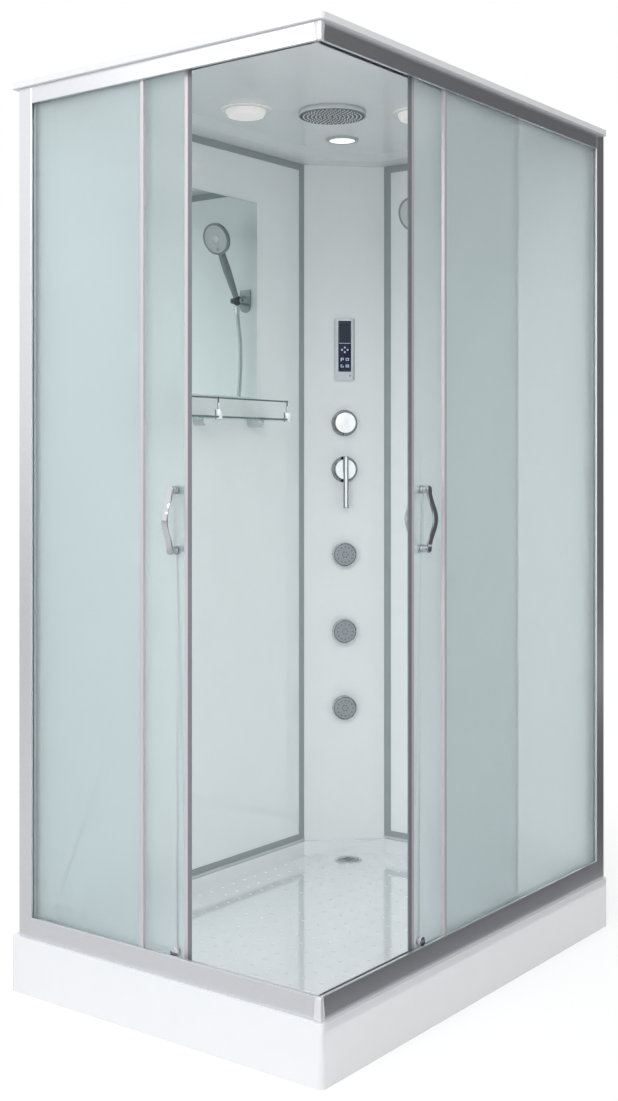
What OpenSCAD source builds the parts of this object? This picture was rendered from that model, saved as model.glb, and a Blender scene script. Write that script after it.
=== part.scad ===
// Corner shower cabin with a low tray, two sliding doors that meet at the open corner,
// two walls of white glass, a slanted column with the taps and jets, and a roof with a rain head.
// The origin is on the floor under the middle of the tray. The open corner points to +X and -Y.

/* [Cabin] */
// Width of the cabin across its short open side
cab_w = 918; // [890:1:1100]
// Depth of the cabin along its long open side
cab_d = 1300; // [1270:1:1500]
// Height of the cabin to the top of the roof slab
cab_h = 2150; // [2100:1:2300]
// Thickness of every pane of glass
glass_t = 5; // [4:0.5:6]

/* [Tray] */
// Height of the tray deck above the floor
tray_h = 132; // [120:1:170]
// Depth of the basin below the deck
basin_d = 42; // [30:1:50]
// Wall of the tray shell
tray_wall = 5; // [4:0.5:6]
// Width of the deck under the two open sides
deck_w = 50; // [48:1:60]
// Radius of the upright corners of tray and roof
corner_r = 12; // [6:1:18]
// Side of the square tubes under the tray
tube_w = 25; // [20:1:30]
// Radius of the chrome ring round the drain
drain_r = 39; // [34:1:45]
// Distance from the column to the middle of the drain
drain_out = 75; // [60:1:120]

/* [Rails] */
// Distance from the tray edge to the outer face of the rails
rail_inset = 10; // [6:1:14]
// Height of the lower rails
rail_h = 49; // [46:1:56]
// Thickness of the outer wall of the rails
rail_wall = 8; // [6:0.5:9]
// Height of the upper rails
top_rail_h = 40; // [38:1:50]
// Half width of the mitred corner connectors along a rail
conn_w = 10; // [6:1:14]
// Width of the wall posts
post_w = 38; // [34:1:44]
// Depth of the wall posts
post_d = 21; // [20:0.5:22]

/* [Doors] */
// Share of the short side between the open corner and the edge of its fixed pane
front_open_share = 0.55; // [0.5:0.01:0.56]
// Distance from the open corner to the tip of a closed door
closed_tip = 35; // [34:0.5:38]
// How far a closed door reaches behind the edge of the short side's fixed pane
front_lap = 20; // [14:1:30]
// How far a closed door reaches behind the edge of the long side's fixed pane
side_lap = 34; // [14:1:40]
// Distance from the left edge of the cabin to the short side's door, as it stands open
front_stop = 54; // [53:1:120]
// Distance from the edge of the long side's fixed pane to its door's tip, as the door stands open
side_reach = 124.9; // [100:0.1:200]
// Height of the middle of the door handles
handle_z = 1125; // [1000:1:1200]
// Distance between the two studs of a handle
handle_span = 132; // [96:1:160]
// How far the middle of a handle bows away from the glass
handle_bow = 37; // [32:1:42]
// Radius of the door wheels
wheel_r = 11; // [9:0.5:12]

/* [Walls] */
// Distance from the tray edge to the inner face of the left wall
left_in = 38; // [34:1:42]
// Distance from the tray edge to the inner face of the back wall
back_in = 30; // [26:1:34]
// Length along each wall that the slanted column covers
col_leg = 170; // [160:1:200]
// Width of the upright bars that frame the walls
bar_w = 24; // [20:1:30]
// Height of the level bars that frame the walls
band_h = 20; // [16:1:26]
// Height of the lower framing bars of the walls
foot_band_h = 25; // [20:1:30]
// Width of the mirror
mirror_w = 516; // [400:1:600]
// Height of the mirror
mirror_h = 554; // [400:1:600]
// Distance from the top of the roof to the upper edge of the mirror
mirror_top = 160; // [120:1:200]

/* [Shelf] */
// Length of the glass shelf
shelf_l = 620; // [540:1:680]
// Distance from the wall to the front edge of the shelf
shelf_out = 86; // [84:1:120]
// Distance from the mirror down to the underside of the shelf
shelf_gap = 65; // [64:1:90]
// Height of the gallery rail above the shelf's underside
gallery_h = 54; // [48:1:56]

/* [Column fittings] */
// Height of the middle of the diverter
diverter_z = 1371; // [1340:1:1400]
// Height of the middle of the mixer
mixer_z = 1233; // [1200:1:1250]
// Heights of the middles of the three body jets
jet_z = [980, 752, 525];
// Radius of the rim of a body jet
jet_r = 36; // [32:1:42]
// Radius of the two round plates behind the taps
plate_r = 39; // [36:1:46]
// Height of the lower edge of the control panel
panel_z = 1497; // [1480:1:1520]
// Width of the control panel
panel_w = 62; // [56:1:72]
// Height of the control panel
panel_h = 185; // [178:1:200]

/* [Roof] */
// Thickness of the roof slab at its edge
roof_t = 14; // [12:1:20]
// Depth of the raised field inside the roof
field_d = 8; // [6:1:9]
// Radius of the rain head
rain_r = 85; // [70:1:100]
// Radius of the ceiling lamp
lamp_r = 44; // [38:1:50]
// Radius of the two round ceiling covers
cover_r = 64; // [58:1:70]

/* [Hand shower] */
// Radius of the head of the hand shower
head_r = 50; // [40:1:60]
// Distance from the pivot to the middle of the head
head_dist = 210; // [180:1:240]
// Distance from the top of the roof to the pivot of the hand shower
pivot_top = 380; // [340:1:420]
// Lean of the handle from upright
handle_lean = 28.5; // [20:0.5:40]
// Outer radius of the ribs of the hose
hose_r = 7; // [6:0.5:8]
// Radius of the bore of the hose
hose_bore_r = 4; // [3:0.5:4.5]
// Number of ribs of the hose
hose_ribs = 170; // [100:1:200]

/* [Hidden] */
$fn = 64;

// Overrun of every cut, clearance of a running fit and clearance of a loose fit
over = 1;
fit = 0.1;
loose = 0.3;

// Tray: inner margin of the basin in front of the walls, drain hole and cover
basin_margin = 4;
floor_z = tray_h - basin_d;
col_gap = 6;
throat_r = 25;
throat_h = 28;
throat_bore_r = 21;
ring_h = 3;
cover_seat_r = 31;
cover_plate_r = 30;
cover_plate_h = 2.5;
cover_seat_h = 2;
cover_slot_w = 5;
cover_slot_l = 36;
trap_r = 42;
trap_wall = 4;
trap_low = 15;
trap_high = 80;
waste_r = 20;
waste_neck_r = 19;
waste_bore_r = 17.5;
waste_l = 112;
waste_spigot_l = 60;
waste_z = 40;
waste_gate_w = 100;
waste_gate_h = 85;

// Tray frame: places of its tubes, wall of a tube, and the feet below it
frame_edge_x = 70;
frame_edge_y = 90;
frame_first = 169;
frame_trap_gap = 24;
tube_t = 2;
foot_r = 22;
foot_h = 8;
foot_rod_r = 5;
nut_r = 9;
nut_h = 8;

// Rails: slots, track and lips, as widths across the rail and heights from its base
slot_w = 8.5;
slot_floor = 20;
track_w = 6.5;
track_h = 40;
door_slot = 9;
door_slot_floor = 18;
lip_t = 3;
lip_h = 38;
top_slot_w = 9;
top_slot_d = 16;
top_rib = 4;
top_rib_d = 34;
top_door_slot = 12.5;
top_door_d = 10;
o1 = rail_inset + rail_wall;
o2 = o1 + slot_w;
o3 = o2 + track_w;
o4 = o3 + door_slot;
o5 = o4 + lip_t;
t2 = o1 + top_slot_w;
t3 = t2 + top_rib;
t4 = t3 + top_door_slot;
t5 = t4 + lip_t;
roof_z = cab_h - roof_t;

// Posts: bead beside the pane, slot for the pane, wall of the hollow
bead_w = 4;
bead_t = 6;
post_slot = 18;
post_wall = 2;
left_edge = 18;
back_edge = 3;
front_post_s = cab_w - left_edge - post_w;
side_post_s = cab_d - back_edge - post_w;
post_back = rail_inset + post_d;

// Doors and fixed panes along the sides, measured from the open corner
front_fix_s = cab_w * front_open_share;
door_w = front_fix_s + front_lap - closed_tip;
side_fix_s = closed_tip + door_w - side_lap;
front_tip = cab_w - front_stop - door_w;
side_tip = side_fix_s - side_reach;

// Panes: places across the rail, top gap, grip in the edge profile and in the post
fix_o = o1 + (slot_w - glass_t) / 2;
pane_gap = 4;
pane_low = tray_h + slot_floor;
pane_high = roof_z - top_slot_d - pane_gap;
pane_grip = 16;
edge_w = 10;
edge_back = 2;

// Doors: place of the glass, edge profile, seals, wheels, shoes and handle
door_o = o3 + (door_slot - glass_t) / 2;
door_low = tray_h + door_slot_floor + pane_gap;
door_high = roof_z - top_rail_h / 2;
seal_w = 12;
profile_w = 10;
profile_low = tray_h + track_h + 2;
profile_in = 2;
lip_seal_w = 4;
lip_seal_t = 1.5;
wheel_t = 5;
wheel_z = tray_h + track_h + wheel_r + loose;
wheel_o = o2 + 1;
axle_r = 3;
axle_head_r = 5;
axle_head_t = 0.7;
wheel_near = 48;
wheel_end = 60;
hub_r = 10.4;
plate_t = 2;
bolt_up = 5;
bolt_r = 4.9;
bolt_hole_r = 5;
shoe_l = 40;
shoe_edge = 1;
shoe_h = 18;
shoe_drop = 12;
front_handle_s = 50;
side_handle_s = 58;
handle_bar_w = 16;
handle_bar_t = 4;
handle_rise = 20.5;
handle_half_l = handle_span / 2;
stud_r = 9;
stud_core_r = 4;
stud_foot_h = 5;
stud_neck_r = 7.5;
stud_neck_h = 1;
bow_steps = 14;

// Walls: thickness of the framing, how far it stands proud of the glass
wall_t = 20;
proud = 2;
rebate = 10;
wall_x = -cab_w / 2 + left_in;
wall_y = cab_d / 2 - back_in;
left_glass_x = wall_x - proud;
back_glass_y = wall_y + proud;
wall_y0 = -cab_d / 2 + post_back;
wall_x1 = cab_w / 2 - post_back;
col_t = 4;
col_x = wall_x + col_leg / 2;
col_y = wall_y - col_leg / 2;
mirror_t = 4;
mirror_y = -31;
mirror_z = cab_h - mirror_top - mirror_h;

// Shelf: glass, wall clamps, gallery posts
shelf_y = -31;
shelf_z = mirror_z - shelf_gap;
shelf_t = 6;
shelf_back = 8;
clamp_r = 13.5;
clamp_l = 40;
clamp_step = 230;
clamp_drop = 6;
gallery_out = 80;
gallery_step = 298;
gallery_r = 2.2;
gallery_ball_r = 3.2;
gallery_foot_r = 8.7;
gallery_foot_h = 26;
gallery_foot_low = 3;

// Column fittings
plate_t2 = 6;
rim_d = 17;
rim_wall = 3;
rim_back = 2;
rim_bore_r = 5;
face_r = 31;
face_t = 8;
face_pivot = 13;
face_pin_r = 2;
face_pin_l = 34.5;
face_hole_r = 1.6;
face_rings = [0, 8, 16, 23];
face_counts = [1, 6, 12, 18];
knob_r = 31;
knob_d = 19;
knob_stub_r = 4;
knob_stub_l = 38;
knob_stub_at = 7;
knob_shaft_r = 5;
cap_r = 31;
cap_d = 19;
cap_shaft_r = 8;
cap_slot_back = 3.5;
lever_w = 14.6;
lever_t = 6.5;
lever_len = 114;
lever_top = 39;
lever_axis = 17;
lever_hub_r = 7;
lever_pin_r = 2.5;
lever_pin_l = 28;
lever_gap = 1.5;
lever_clear = 9;
shaft_end = 20;
block_w = 80;
block_near = 10;
block_far = 55;
block_h = 50;
pipe_v = 35;
pipe_r = 8;
pipe_low = 300;
inlet_r = 10.5;
inlet_l = 20;
inlet_u = 30;
feed_r = 5;
feed_gap = 1.5;
feed_x = wall_x + col_leg - bar_w;
feed_y = back_glass_y + glass_t + feed_r + feed_gap;
feed_tee = 10;
joint_t = 1;
riser_v = 70;
riser_rise = 10;

// Control panel
panel_d = 9;
panel_face_w = 49;
panel_side_d = 3;
inset_w = 38.6;
inset_h = 151;
inset_low = 26;
pocket_d = 7;
screen_t = 3;
screen_in = 0.5;
nav_r = 12;
nav_up = 91;
nav_proud = 0.9;
nav_flange = 1.5;
key_w = 30;
key_h = 9.4;
key_up = [63, 43];
window_w = 32;
window_h = 60;
window_up = 111;
window_d = 0.6;

// Roof: edge of the raised field, slope band and fixtures
field_edge = 73;
band_w = 57;
field_open = 60;
rain_at = [6, 6];
rain_t = 8;
rain_drop = 13;
rain_neck_r = 20;
rain_stem_r = 10;
rain_ring = 6;
rain_groove = 1.5;
lamp_at = [-155, 273];
lamp_t = 5;
lamp_can_r = 36;
lamp_can_h = 21;
cover_at = [-158, -140];
cover_ring_t = 3;
cover_lip_r = 50;
cover_lip_h = 9;
cover_face_r = 44.5;
cover_drop = 18;
cover_shell = 2.5;
speaker_r = 40;
fan_w = 92;
fan_h = 25;
fan_hole_r = 42;
fan_hub_r = 16;
fan_blade_r = 40;
fan_blades = 7;
fan_blade_t = 1.5;
fan_blade_w = 20;
fan_pitch = 35;
fan_strut = 6;
fan_pin_r = 3;
fan_floor = 4;
field_z = roof_z + field_d;

// Hand shower: pivot, holder, cradle and head
hand_x = -51;
pivot_out = 44;
pivot_y = back_glass_y - pivot_out;
pivot_z = cab_h - pivot_top;
base_w = 42;
base_h = 72;
base_t = 6;
base_low = 35;
block_hw = 34;
block_hh = 40;
block_hd = 24;
block_up = 16;
arm_t = 5;
arm_gap = 17;
arm_h = 16;
arm_end = 9;
trunnion_r = 4;
cradle_r = 15.7;
stem_r = 9;
grip_low_r = 9.5;
grip_r = 13;
grip_start = 17;
neck_r = 11;
head_t = 10;
head_dome = 9;
head_tilt = 8.6;
head_face_r = 44;
head_groove = 1;
head_hub_r = 15;

// Hose outlet on the back wall
outlet_drop = 865;
outlet_out = 37;
outlet_mouth = 21;
outlet_z = pivot_z - outlet_drop;
outlet_y = back_glass_y - outlet_out;
outlet_low = outlet_z - outlet_mouth;
elbow_r = 11;
elbow_flange_r = 30;
elbow_flange_t = 5;
elbow_tail_r = 8;

// Route of the hose, from under the hand shower down along the wall and up to its outlet
// Each point is measured from hand_x, from outlet_y and from the pivot of the hand shower.
hose_points = [
    [0, -7, -16], [0, -7, -34], [-4, -5, -80], [-8, -1, -140], [-7, 0, -230], [0, 0, -310],
    [13, 0, -374], [26, 0, -460], [47, 0, -608], [71, 0, -727], [85, 0, -866], [99, 0, -960],
    [105, 0, -1064], [97, 0, -1146], [69, 0, -1198], [27, 0, -1215], [-11, 0, -1197], [-34, 0, -1152],
    [-37, 0, -1094], [-31, 0, -1020], [-17, 0, -950], [-3, 0, -914], [0, 0, -900], [0, 0, -886]];
hose_route = [for (p = hose_points) [hand_x, outlet_y, pivot_z] + p];
hose_sides = 8;
hose_valley = 1;
hose_steps = 12;

// Frames: the short side, the long side and the column, each seen with its own axes
// On both open sides x runs away from the open corner and y runs inward.
module short_side() translate([cab_w / 2, -cab_d / 2, 0]) mirror([1, 0, 0]) children();
module long_side() translate([cab_w / 2, -cab_d / 2, 0]) rotate([0, 0, 90]) children();
// On the column x runs along its face and -y points into the cabin.
module on_column(z) translate([col_x, col_y, z]) rotate([0, 0, 45]) children();
// A shape drawn with its length along z, laid so that this length points out of the column
module outward() rotate([90, 0, 0]) children();
// A section drawn as inward and upward, extruded along the side
module along(len) rotate([90, 0, 90]) linear_extrude(len) children();

module rod(a, b, r) {
    d = b - a;
    h = norm(d);
    translate(a) rotate([0, acos(d[2] / h), atan2(d[1], d[0])]) cylinder(r = r, h = h);
}

module bar3(p, s) translate(p) cube(s);

module round_rect(w, d, r) {
    square([w - 2 * r, d], center = true);
    square([w, d - 2 * r], center = true);
    for (x = [-1, 1], y = [-1, 1])
        translate([x * (w / 2 - r), y * (d / 2 - r)]) circle(r);
}

// Outline inside the walls with the corner in front of the column cut off
// grow moves every side outward, edge gives x0, y0, x1, y1 and the distance from the column.
function cut_outline(edge, grow) =
    let (x0 = edge[0] - grow, y0 = edge[1] - grow, x1 = edge[2] + grow, y1 = edge[3] + grow,
        diag = wall_y - col_leg - wall_x - (edge[4] - grow) * sqrt(2))
    [[x0, y0], [x1, y0], [x1, y1], [y1 - diag, y1], [x0, x0 + diag]];

basin_edge = [wall_x + basin_margin, -cab_d / 2 + deck_w, cab_w / 2 - deck_w,
    wall_y - basin_margin, col_gap];
drain_xy = [col_x + drain_out / sqrt(2), col_y - drain_out / sqrt(2)];

// Tray shell with the basin, its underside open, and a gate for the waste pipe in its back wall
module tray() color("white") difference() {
    linear_extrude(tray_h) round_rect(cab_w, cab_d, corner_r);
    translate([0, 0, floor_z]) linear_extrude(basin_d + over) polygon(cut_outline(basin_edge, 0));
    difference() {
        translate([0, 0, -over]) linear_extrude(tray_h - tray_wall + over)
            round_rect(cab_w - 2 * tray_wall, cab_d - 2 * tray_wall, corner_r - tray_wall);
        translate([0, 0, floor_z - tray_wall]) linear_extrude(basin_d + tray_wall)
            polygon(cut_outline(basin_edge, tray_wall));
    }
    translate([drain_xy[0], drain_xy[1], 0]) cylinder(r = throat_r + fit, h = tray_h);
    bar3([drain_xy[0] - waste_gate_w / 2, cab_d / 2 - tray_wall - over, -over],
        [waste_gate_w, tray_wall + 2 * over, waste_gate_h + over]);
}

// Square steel tubes that carry the floor of the basin
frame_x = cab_w / 2 - frame_edge_x;
frame_y = cab_d / 2 - frame_edge_y;
frame_z = floor_z - tray_wall - tube_w;
frame_y_first = frame_first - cab_d / 2;
frame_y_last = drain_xy[1] - trap_r - frame_trap_gap - tube_w / 2;
frame_cross_y = [frame_y_first, (frame_y_first + frame_y_last) / 2, frame_y_last];

module tray_frame() color("gray") difference() {
    union() {
        for (x = [-frame_x, frame_x])
            bar3([x - tube_w / 2, -frame_y, frame_z], [tube_w, 2 * frame_y, tube_w]);
        for (y = frame_cross_y)
            bar3([-frame_x, y - tube_w / 2, frame_z], [2 * frame_x, tube_w, tube_w]);
    }
    for (x = [-frame_x, frame_x])
        bar3([x - tube_w / 2 + tube_t, -frame_y - over, frame_z + tube_t],
            [tube_w - 2 * tube_t, 2 * frame_y + 2 * over, tube_w - 2 * tube_t]);
}

// Screw feet under the crossings of the tubes
module tray_feet() color("dimgray") {
    for (x = [-frame_x, 0, frame_x], y = frame_cross_y)
        translate([x, y, 0]) {
            cylinder(r = foot_r, h = foot_h);
            cylinder(r = foot_rod_r, h = frame_z);
            translate([0, 0, frame_z - nut_h]) cylinder(r = nut_r, h = nut_h, $fn = 6);
        }
}

module at_drain(z) translate([drain_xy[0], drain_xy[1], z]) children();

// Water trap hung from the throat of the drain
module drain_trap() color("whitesmoke") at_drain(0) difference() {
    union() {
        translate([0, 0, trap_low]) cylinder(r = trap_r, h = trap_high - trap_low);
        translate([0, 0, waste_z]) rotate([-90, 0, 0]) cylinder(r = waste_neck_r, h = waste_l);
        translate([0, waste_l - waste_spigot_l, waste_z]) rotate([-90, 0, 0])
            cylinder(r = waste_r, h = waste_spigot_l);
    }
    translate([0, 0, trap_low + trap_wall])
        cylinder(r = trap_r - trap_wall, h = trap_high - trap_low - 2 * trap_wall);
    cylinder(r = throat_r + fit, h = trap_high + over);
    translate([0, 0, waste_z]) rotate([-90, 0, 0]) cylinder(r = waste_bore_r, h = waste_l + over);
}

// Chrome ring with its threaded throat
module drain_flange() color("silver") at_drain(floor_z) difference() {
    union() {
        cylinder(r = drain_r, h = ring_h);
        translate([0, 0, -throat_h]) cylinder(r = throat_r, h = throat_h);
    }
    translate([0, 0, -throat_h - over]) cylinder(r = throat_bore_r, h = throat_h + ring_h + 2 * over);
    translate([0, 0, ring_h - cover_seat_h]) cylinder(r = cover_seat_r, h = ring_h);
}

// Loose slotted cover in the ring
module drain_cover() color("dimgray") at_drain(floor_z + ring_h - cover_seat_h) difference() {
    cylinder(r = cover_plate_r, h = cover_plate_h);
    for (k = [-1, 0, 1])
        translate([k * cover_slot_w * 2 - cover_slot_w / 2, -cover_slot_l / 2, -over])
            cube([cover_slot_w, cover_slot_l, cover_plate_h + 2 * over]);
}

// Sections of the rails, drawn as inward and upward
module bottom_section() polygon([
    [rail_inset, tray_h], [rail_inset, tray_h + rail_h], [o1, tray_h + rail_h],
    [o1, tray_h + slot_floor], [o2, tray_h + slot_floor], [o2, tray_h + track_h],
    [o3, tray_h + track_h], [o3, tray_h + door_slot_floor], [o4, tray_h + door_slot_floor],
    [o4, tray_h + lip_h], [o5, tray_h + lip_h], [o5, tray_h]]);

module top_section() polygon([
    [rail_inset, roof_z], [rail_inset, roof_z - top_rail_h], [o1, roof_z - top_rail_h],
    [o1, roof_z - top_slot_d], [t2, roof_z - top_slot_d], [t2, roof_z - top_rib_d],
    [t3, roof_z - top_rib_d], [t3, roof_z - top_door_d], [t4, roof_z - top_door_d],
    [t4, roof_z - top_rib_d], [t5, roof_z - top_rib_d], [t5, roof_z]]);

// Region beyond the mitre plane, shifted along the rail by the given distance
module beyond_mitre(shift, len) linear_extrude(cab_h)
    polygon([[shift, 0], [t5 + over + shift, t5 + over], [len, t5 + over], [len, 0]]);

// A rail from the corner connector to the bead of its post
module rail(len) intersection() {
    along(len) children();
    beyond_mitre(conn_w, len);
}

module bottom_rails() color("silver") {
    short_side() rail(front_post_s - bead_w) bottom_section();
    long_side() rail(side_post_s - bead_w) bottom_section();
}

module top_rails() color("silver") {
    short_side() rail(front_post_s - bead_w) top_section();
    long_side() rail(side_post_s - bead_w) top_section();
}

// One half of a corner connector, between the mitre plane and the end of the rail
module connector_half() difference() {
    intersection() {
        along(t5 + conn_w + over) children();
        beyond_mitre(0, t5 + conn_w + over);
    }
    translate([0, 0, -over]) scale([1, 1, 2]) beyond_mitre(conn_w, t5 + conn_w + 2 * over);
}

module corner_connectors() color("gainsboro") {
    union() {
        short_side() connector_half() bottom_section();
        long_side() connector_half() bottom_section();
    }
    union() {
        short_side() connector_half() top_section();
        long_side() connector_half() top_section();
    }
}

// Wall post with a slot for the pane and a hollow behind it
module post(s0) translate([s0, 0, tray_h]) linear_extrude(roof_z - tray_h) difference() {
    union() {
        translate([0, rail_inset]) square([post_w, post_d]);
        translate([-bead_w, rail_inset]) square([bead_w + over, bead_t]);
    }
    translate([-over, fix_o - fit]) square([post_slot + over, glass_t + 2 * fit]);
    translate([post_slot + post_wall, rail_inset + post_wall])
        square([post_w - post_slot - 2 * post_wall, post_d - 2 * post_wall]);
}

module wall_posts() color("silver") {
    short_side() post(front_post_s);
    long_side() post(side_post_s);
}

// Fixed pane from its edge profile into the slot of the post
module fixed_pane(s0, post_s)
    bar3([s0 + edge_back, fix_o, pane_low],
        [post_s + pane_grip - s0 - edge_back, glass_t, pane_high - pane_low]);

module front_fixed_glass() color("lightcyan") short_side() fixed_pane(front_fix_s, front_post_s);
module side_fixed_glass() color("lightcyan") long_side() fixed_pane(side_fix_s, side_post_s);

module fixed_edge(s0) difference() {
    bar3([s0, o1, pane_low], [edge_w, slot_w, pane_high - pane_low]);
    bar3([s0 + edge_back, fix_o, pane_low - over], [edge_w, glass_t, pane_high - pane_low + 2 * over]);
}

module fixed_edges() color("silver") {
    short_side() fixed_edge(front_fix_s);
    long_side() fixed_edge(side_fix_s);
}

// Sliding door parts, each placed by the distance from the open corner to the door's tip
module door_hole(s, z, r) translate([s, door_o - over, z]) rotate([-90, 0, 0])
    cylinder(r = r, h = glass_t + 2 * over);

wheel_far = door_w - wheel_end;
module door_glass(tip, grip_s) difference() {
    bar3([tip + seal_w + profile_in, door_o, door_low],
        [door_w - seal_w - profile_in - lip_seal_w / 2, glass_t, door_high - door_low]);
    for (s = [wheel_near, wheel_far]) door_hole(tip + s, wheel_z + bolt_up, bolt_hole_r);
    for (k = [-1, 1]) door_hole(tip + grip_s, handle_z + k * handle_half_l, stud_core_r + fit);
}

module door_profile(tip) difference() {
    bar3([tip + seal_w, o3, profile_low], [profile_w, door_slot, door_high - profile_low]);
    bar3([tip + seal_w + profile_in, door_o, profile_low - over],
        [profile_w, glass_t, door_high - profile_low + 2 * over]);
}

module door_seals(tip) {
    translate([tip, 0, profile_low]) linear_extrude(door_high - profile_low)
        polygon([[0, o3], [door_slot, o4], [seal_w, o4], [seal_w, o3]]);
    translate([tip + door_w - lip_seal_w, 0, profile_low]) linear_extrude(door_high - profile_low)
        difference() {
            translate([0, door_o - lip_seal_t]) square([lip_seal_w, glass_t + 2 * lip_seal_t]);
            translate([-over, door_o]) square([lip_seal_w / 2 + over, glass_t]);
        }
}

// Half of a handle: two studs and a flat bar bowed outward between them, growing along +y
bow_z = [for (k = [-bow_steps : bow_steps]) k * handle_half_l / bow_steps];
function bow_at(z) = handle_rise
    + (handle_bow - handle_rise) * (1 + cos(180 * min(abs(z) / handle_half_l, 1))) / 2;
bar_z = concat([-handle_half_l - handle_bar_w], bow_z, [handle_half_l + handle_bar_w]);

module handle_half() {
    for (k = [-1, 1]) translate([0, 0, k * handle_half_l]) rotate([-90, 0, 0]) {
        cylinder(r = stud_r, h = stud_foot_h);
        cylinder(r = stud_neck_r, h = handle_rise - handle_bar_t / 2);
        translate([0, 0, stud_foot_h + stud_neck_h])
            cylinder(r = stud_r, h = handle_rise - handle_bar_t / 2 - stud_foot_h - stud_neck_h);
    }
    intersection() {
        translate([-handle_bar_w / 2 - over, 0, 0]) rotate([90, 0, 90])
            linear_extrude(handle_bar_w + 2 * over) polygon([for (z = bar_z) [bow_at(z), z],
                for (z = bar_z) [bow_at(z) - handle_bar_t, -z]]);
        translate([0, handle_bow + over, 0]) rotate([90, 0, 0]) linear_extrude(handle_bow) {
            square([handle_bar_w, handle_span], center = true);
            for (k = [-1, 1]) translate([0, k * handle_half_l]) circle(handle_bar_w / 2);
        }
    }
}

module door_handle(s) translate([s, 0, handle_z]) {
    translate([0, door_o, 0]) mirror([0, 1, 0]) handle_half();
    translate([0, door_o + glass_t, 0]) handle_half();
    for (k = [-1, 1]) translate([0, door_o - over, k * handle_half_l]) rotate([-90, 0, 0])
        cylinder(r = stud_core_r, h = glass_t + 2 * over);
}

// Wheel brackets at the foot and guide shoes at the head of a door
module hub_plate(o) intersection() {
    translate([0, o, wheel_z]) rotate([-90, 0, 0]) cylinder(r = hub_r, h = plate_t);
    bar3([-hub_r, o - over, profile_low], [2 * hub_r, plate_t + 2 * over, 2 * hub_r]);
}

module wheel_bracket(s) translate([s, 0, 0]) {
    hub_plate(o3);
    hub_plate(door_o + glass_t);
    translate([0, o3, wheel_z + bolt_up]) rotate([-90, 0, 0]) cylinder(r = bolt_r, h = door_slot);
    translate([0, wheel_o - axle_head_t - fit, wheel_z]) rotate([-90, 0, 0])
        cylinder(r = axle_r, h = o3 + over - wheel_o + axle_head_t + fit);
    translate([0, wheel_o - axle_head_t - fit, wheel_z]) rotate([-90, 0, 0])
        cylinder(r = axle_head_r, h = axle_head_t);
}

module guide_shoe(s) difference() {
    bar3([s - shoe_l / 2, t3 + shoe_edge, door_high - shoe_drop],
        [shoe_l, top_door_slot - 2 * shoe_edge, shoe_h]);
    bar3([s - shoe_l, door_o, door_low], [2 * shoe_l, glass_t, door_high - door_low]);
}

module door_carriers(tip) {
    for (s = [wheel_near, wheel_far]) {
        wheel_bracket(tip + s);
        guide_shoe(tip + s);
    }
}

module door_wheel(s) translate([s, wheel_o, wheel_z]) rotate([-90, 0, 0]) difference() {
    cylinder(r = wheel_r, h = wheel_t);
    translate([0, 0, -over]) cylinder(r = axle_r + fit / 2, h = wheel_t + 2 * over);
}

module front_door_glass() color("lightcyan") short_side() door_glass(front_tip, front_handle_s);
module front_door_edge() color("silver") short_side() door_profile(front_tip);
module front_door_seals() color("dimgray") short_side() door_seals(front_tip);
module front_door_handle() color("silver") short_side() door_handle(front_tip + front_handle_s);
module front_door_carriers() color("gainsboro") short_side() door_carriers(front_tip);
module front_wheel_a() color("white") short_side() door_wheel(front_tip + wheel_near);
module front_wheel_b() color("white") short_side() door_wheel(front_tip + wheel_far);
module side_door_glass() color("lightcyan") long_side() door_glass(side_tip, side_handle_s);
module side_door_edge() color("silver") long_side() door_profile(side_tip);
module side_door_seals() color("dimgray") long_side() door_seals(side_tip);
module side_door_handle() color("silver") long_side() door_handle(side_tip + side_handle_s);
module side_door_carriers() color("gainsboro") long_side() door_carriers(side_tip);
module side_wheel_a() color("white") long_side() door_wheel(side_tip + wheel_near);
module side_wheel_b() color("white") long_side() door_wheel(side_tip + wheel_far);

// Panes of white glass, held by their framing bars
wall_h = roof_z - tray_h;
left_len = col_y - col_leg / 2 - wall_y0;
back_x0 = wall_x + col_leg;
back_len = wall_x1 - back_x0;

module left_pane() bar3([left_glass_x - glass_t, wall_y0 + bar_w - rebate, tray_h + foot_band_h - rebate],
    [glass_t, left_len - 2 * bar_w + 2 * rebate, wall_h - foot_band_h - band_h + 2 * rebate]);

module back_pane() bar3([back_x0 + bar_w - rebate, back_glass_y, tray_h + foot_band_h - rebate],
    [back_len - 2 * bar_w + 2 * rebate, glass_t, wall_h - foot_band_h - band_h + 2 * rebate]);

module left_wall_glass() color("white") left_pane();

module back_wall_glass() color("white") difference() {
    back_pane();
    translate([hand_x, back_glass_y - over, outlet_z]) rotate([-90, 0, 0])
        cylinder(r = elbow_tail_r + fit, h = glass_t + 2 * over);
}

module wall_frames() color("darkgray") {
    for (y = [wall_y0, wall_y0 + left_len - bar_w]) difference() {
        bar3([wall_x - wall_t, y, tray_h], [wall_t, bar_w, wall_h]);
        left_pane();
    }
    for (z = [[tray_h, foot_band_h], [roof_z - band_h, band_h]]) difference() {
        bar3([wall_x - wall_t, wall_y0 + bar_w, z[0]], [wall_t, left_len - 2 * bar_w, z[1]]);
        left_pane();
    }
    for (x = [back_x0, back_x0 + back_len - bar_w]) difference() {
        bar3([x, wall_y, tray_h], [bar_w, wall_t, wall_h]);
        back_pane();
        translate([back_x0 - over, feed_y, outlet_z]) rotate([0, 90, 0])
            cylinder(r = feed_r + loose, h = bar_w + 2 * over);
    }
    for (z = [[tray_h, foot_band_h], [roof_z - band_h, band_h]]) difference() {
        bar3([back_x0 + bar_w, wall_y, z[0]], [back_len - 2 * bar_w, wall_t, z[1]]);
        back_pane();
    }
}

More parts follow.
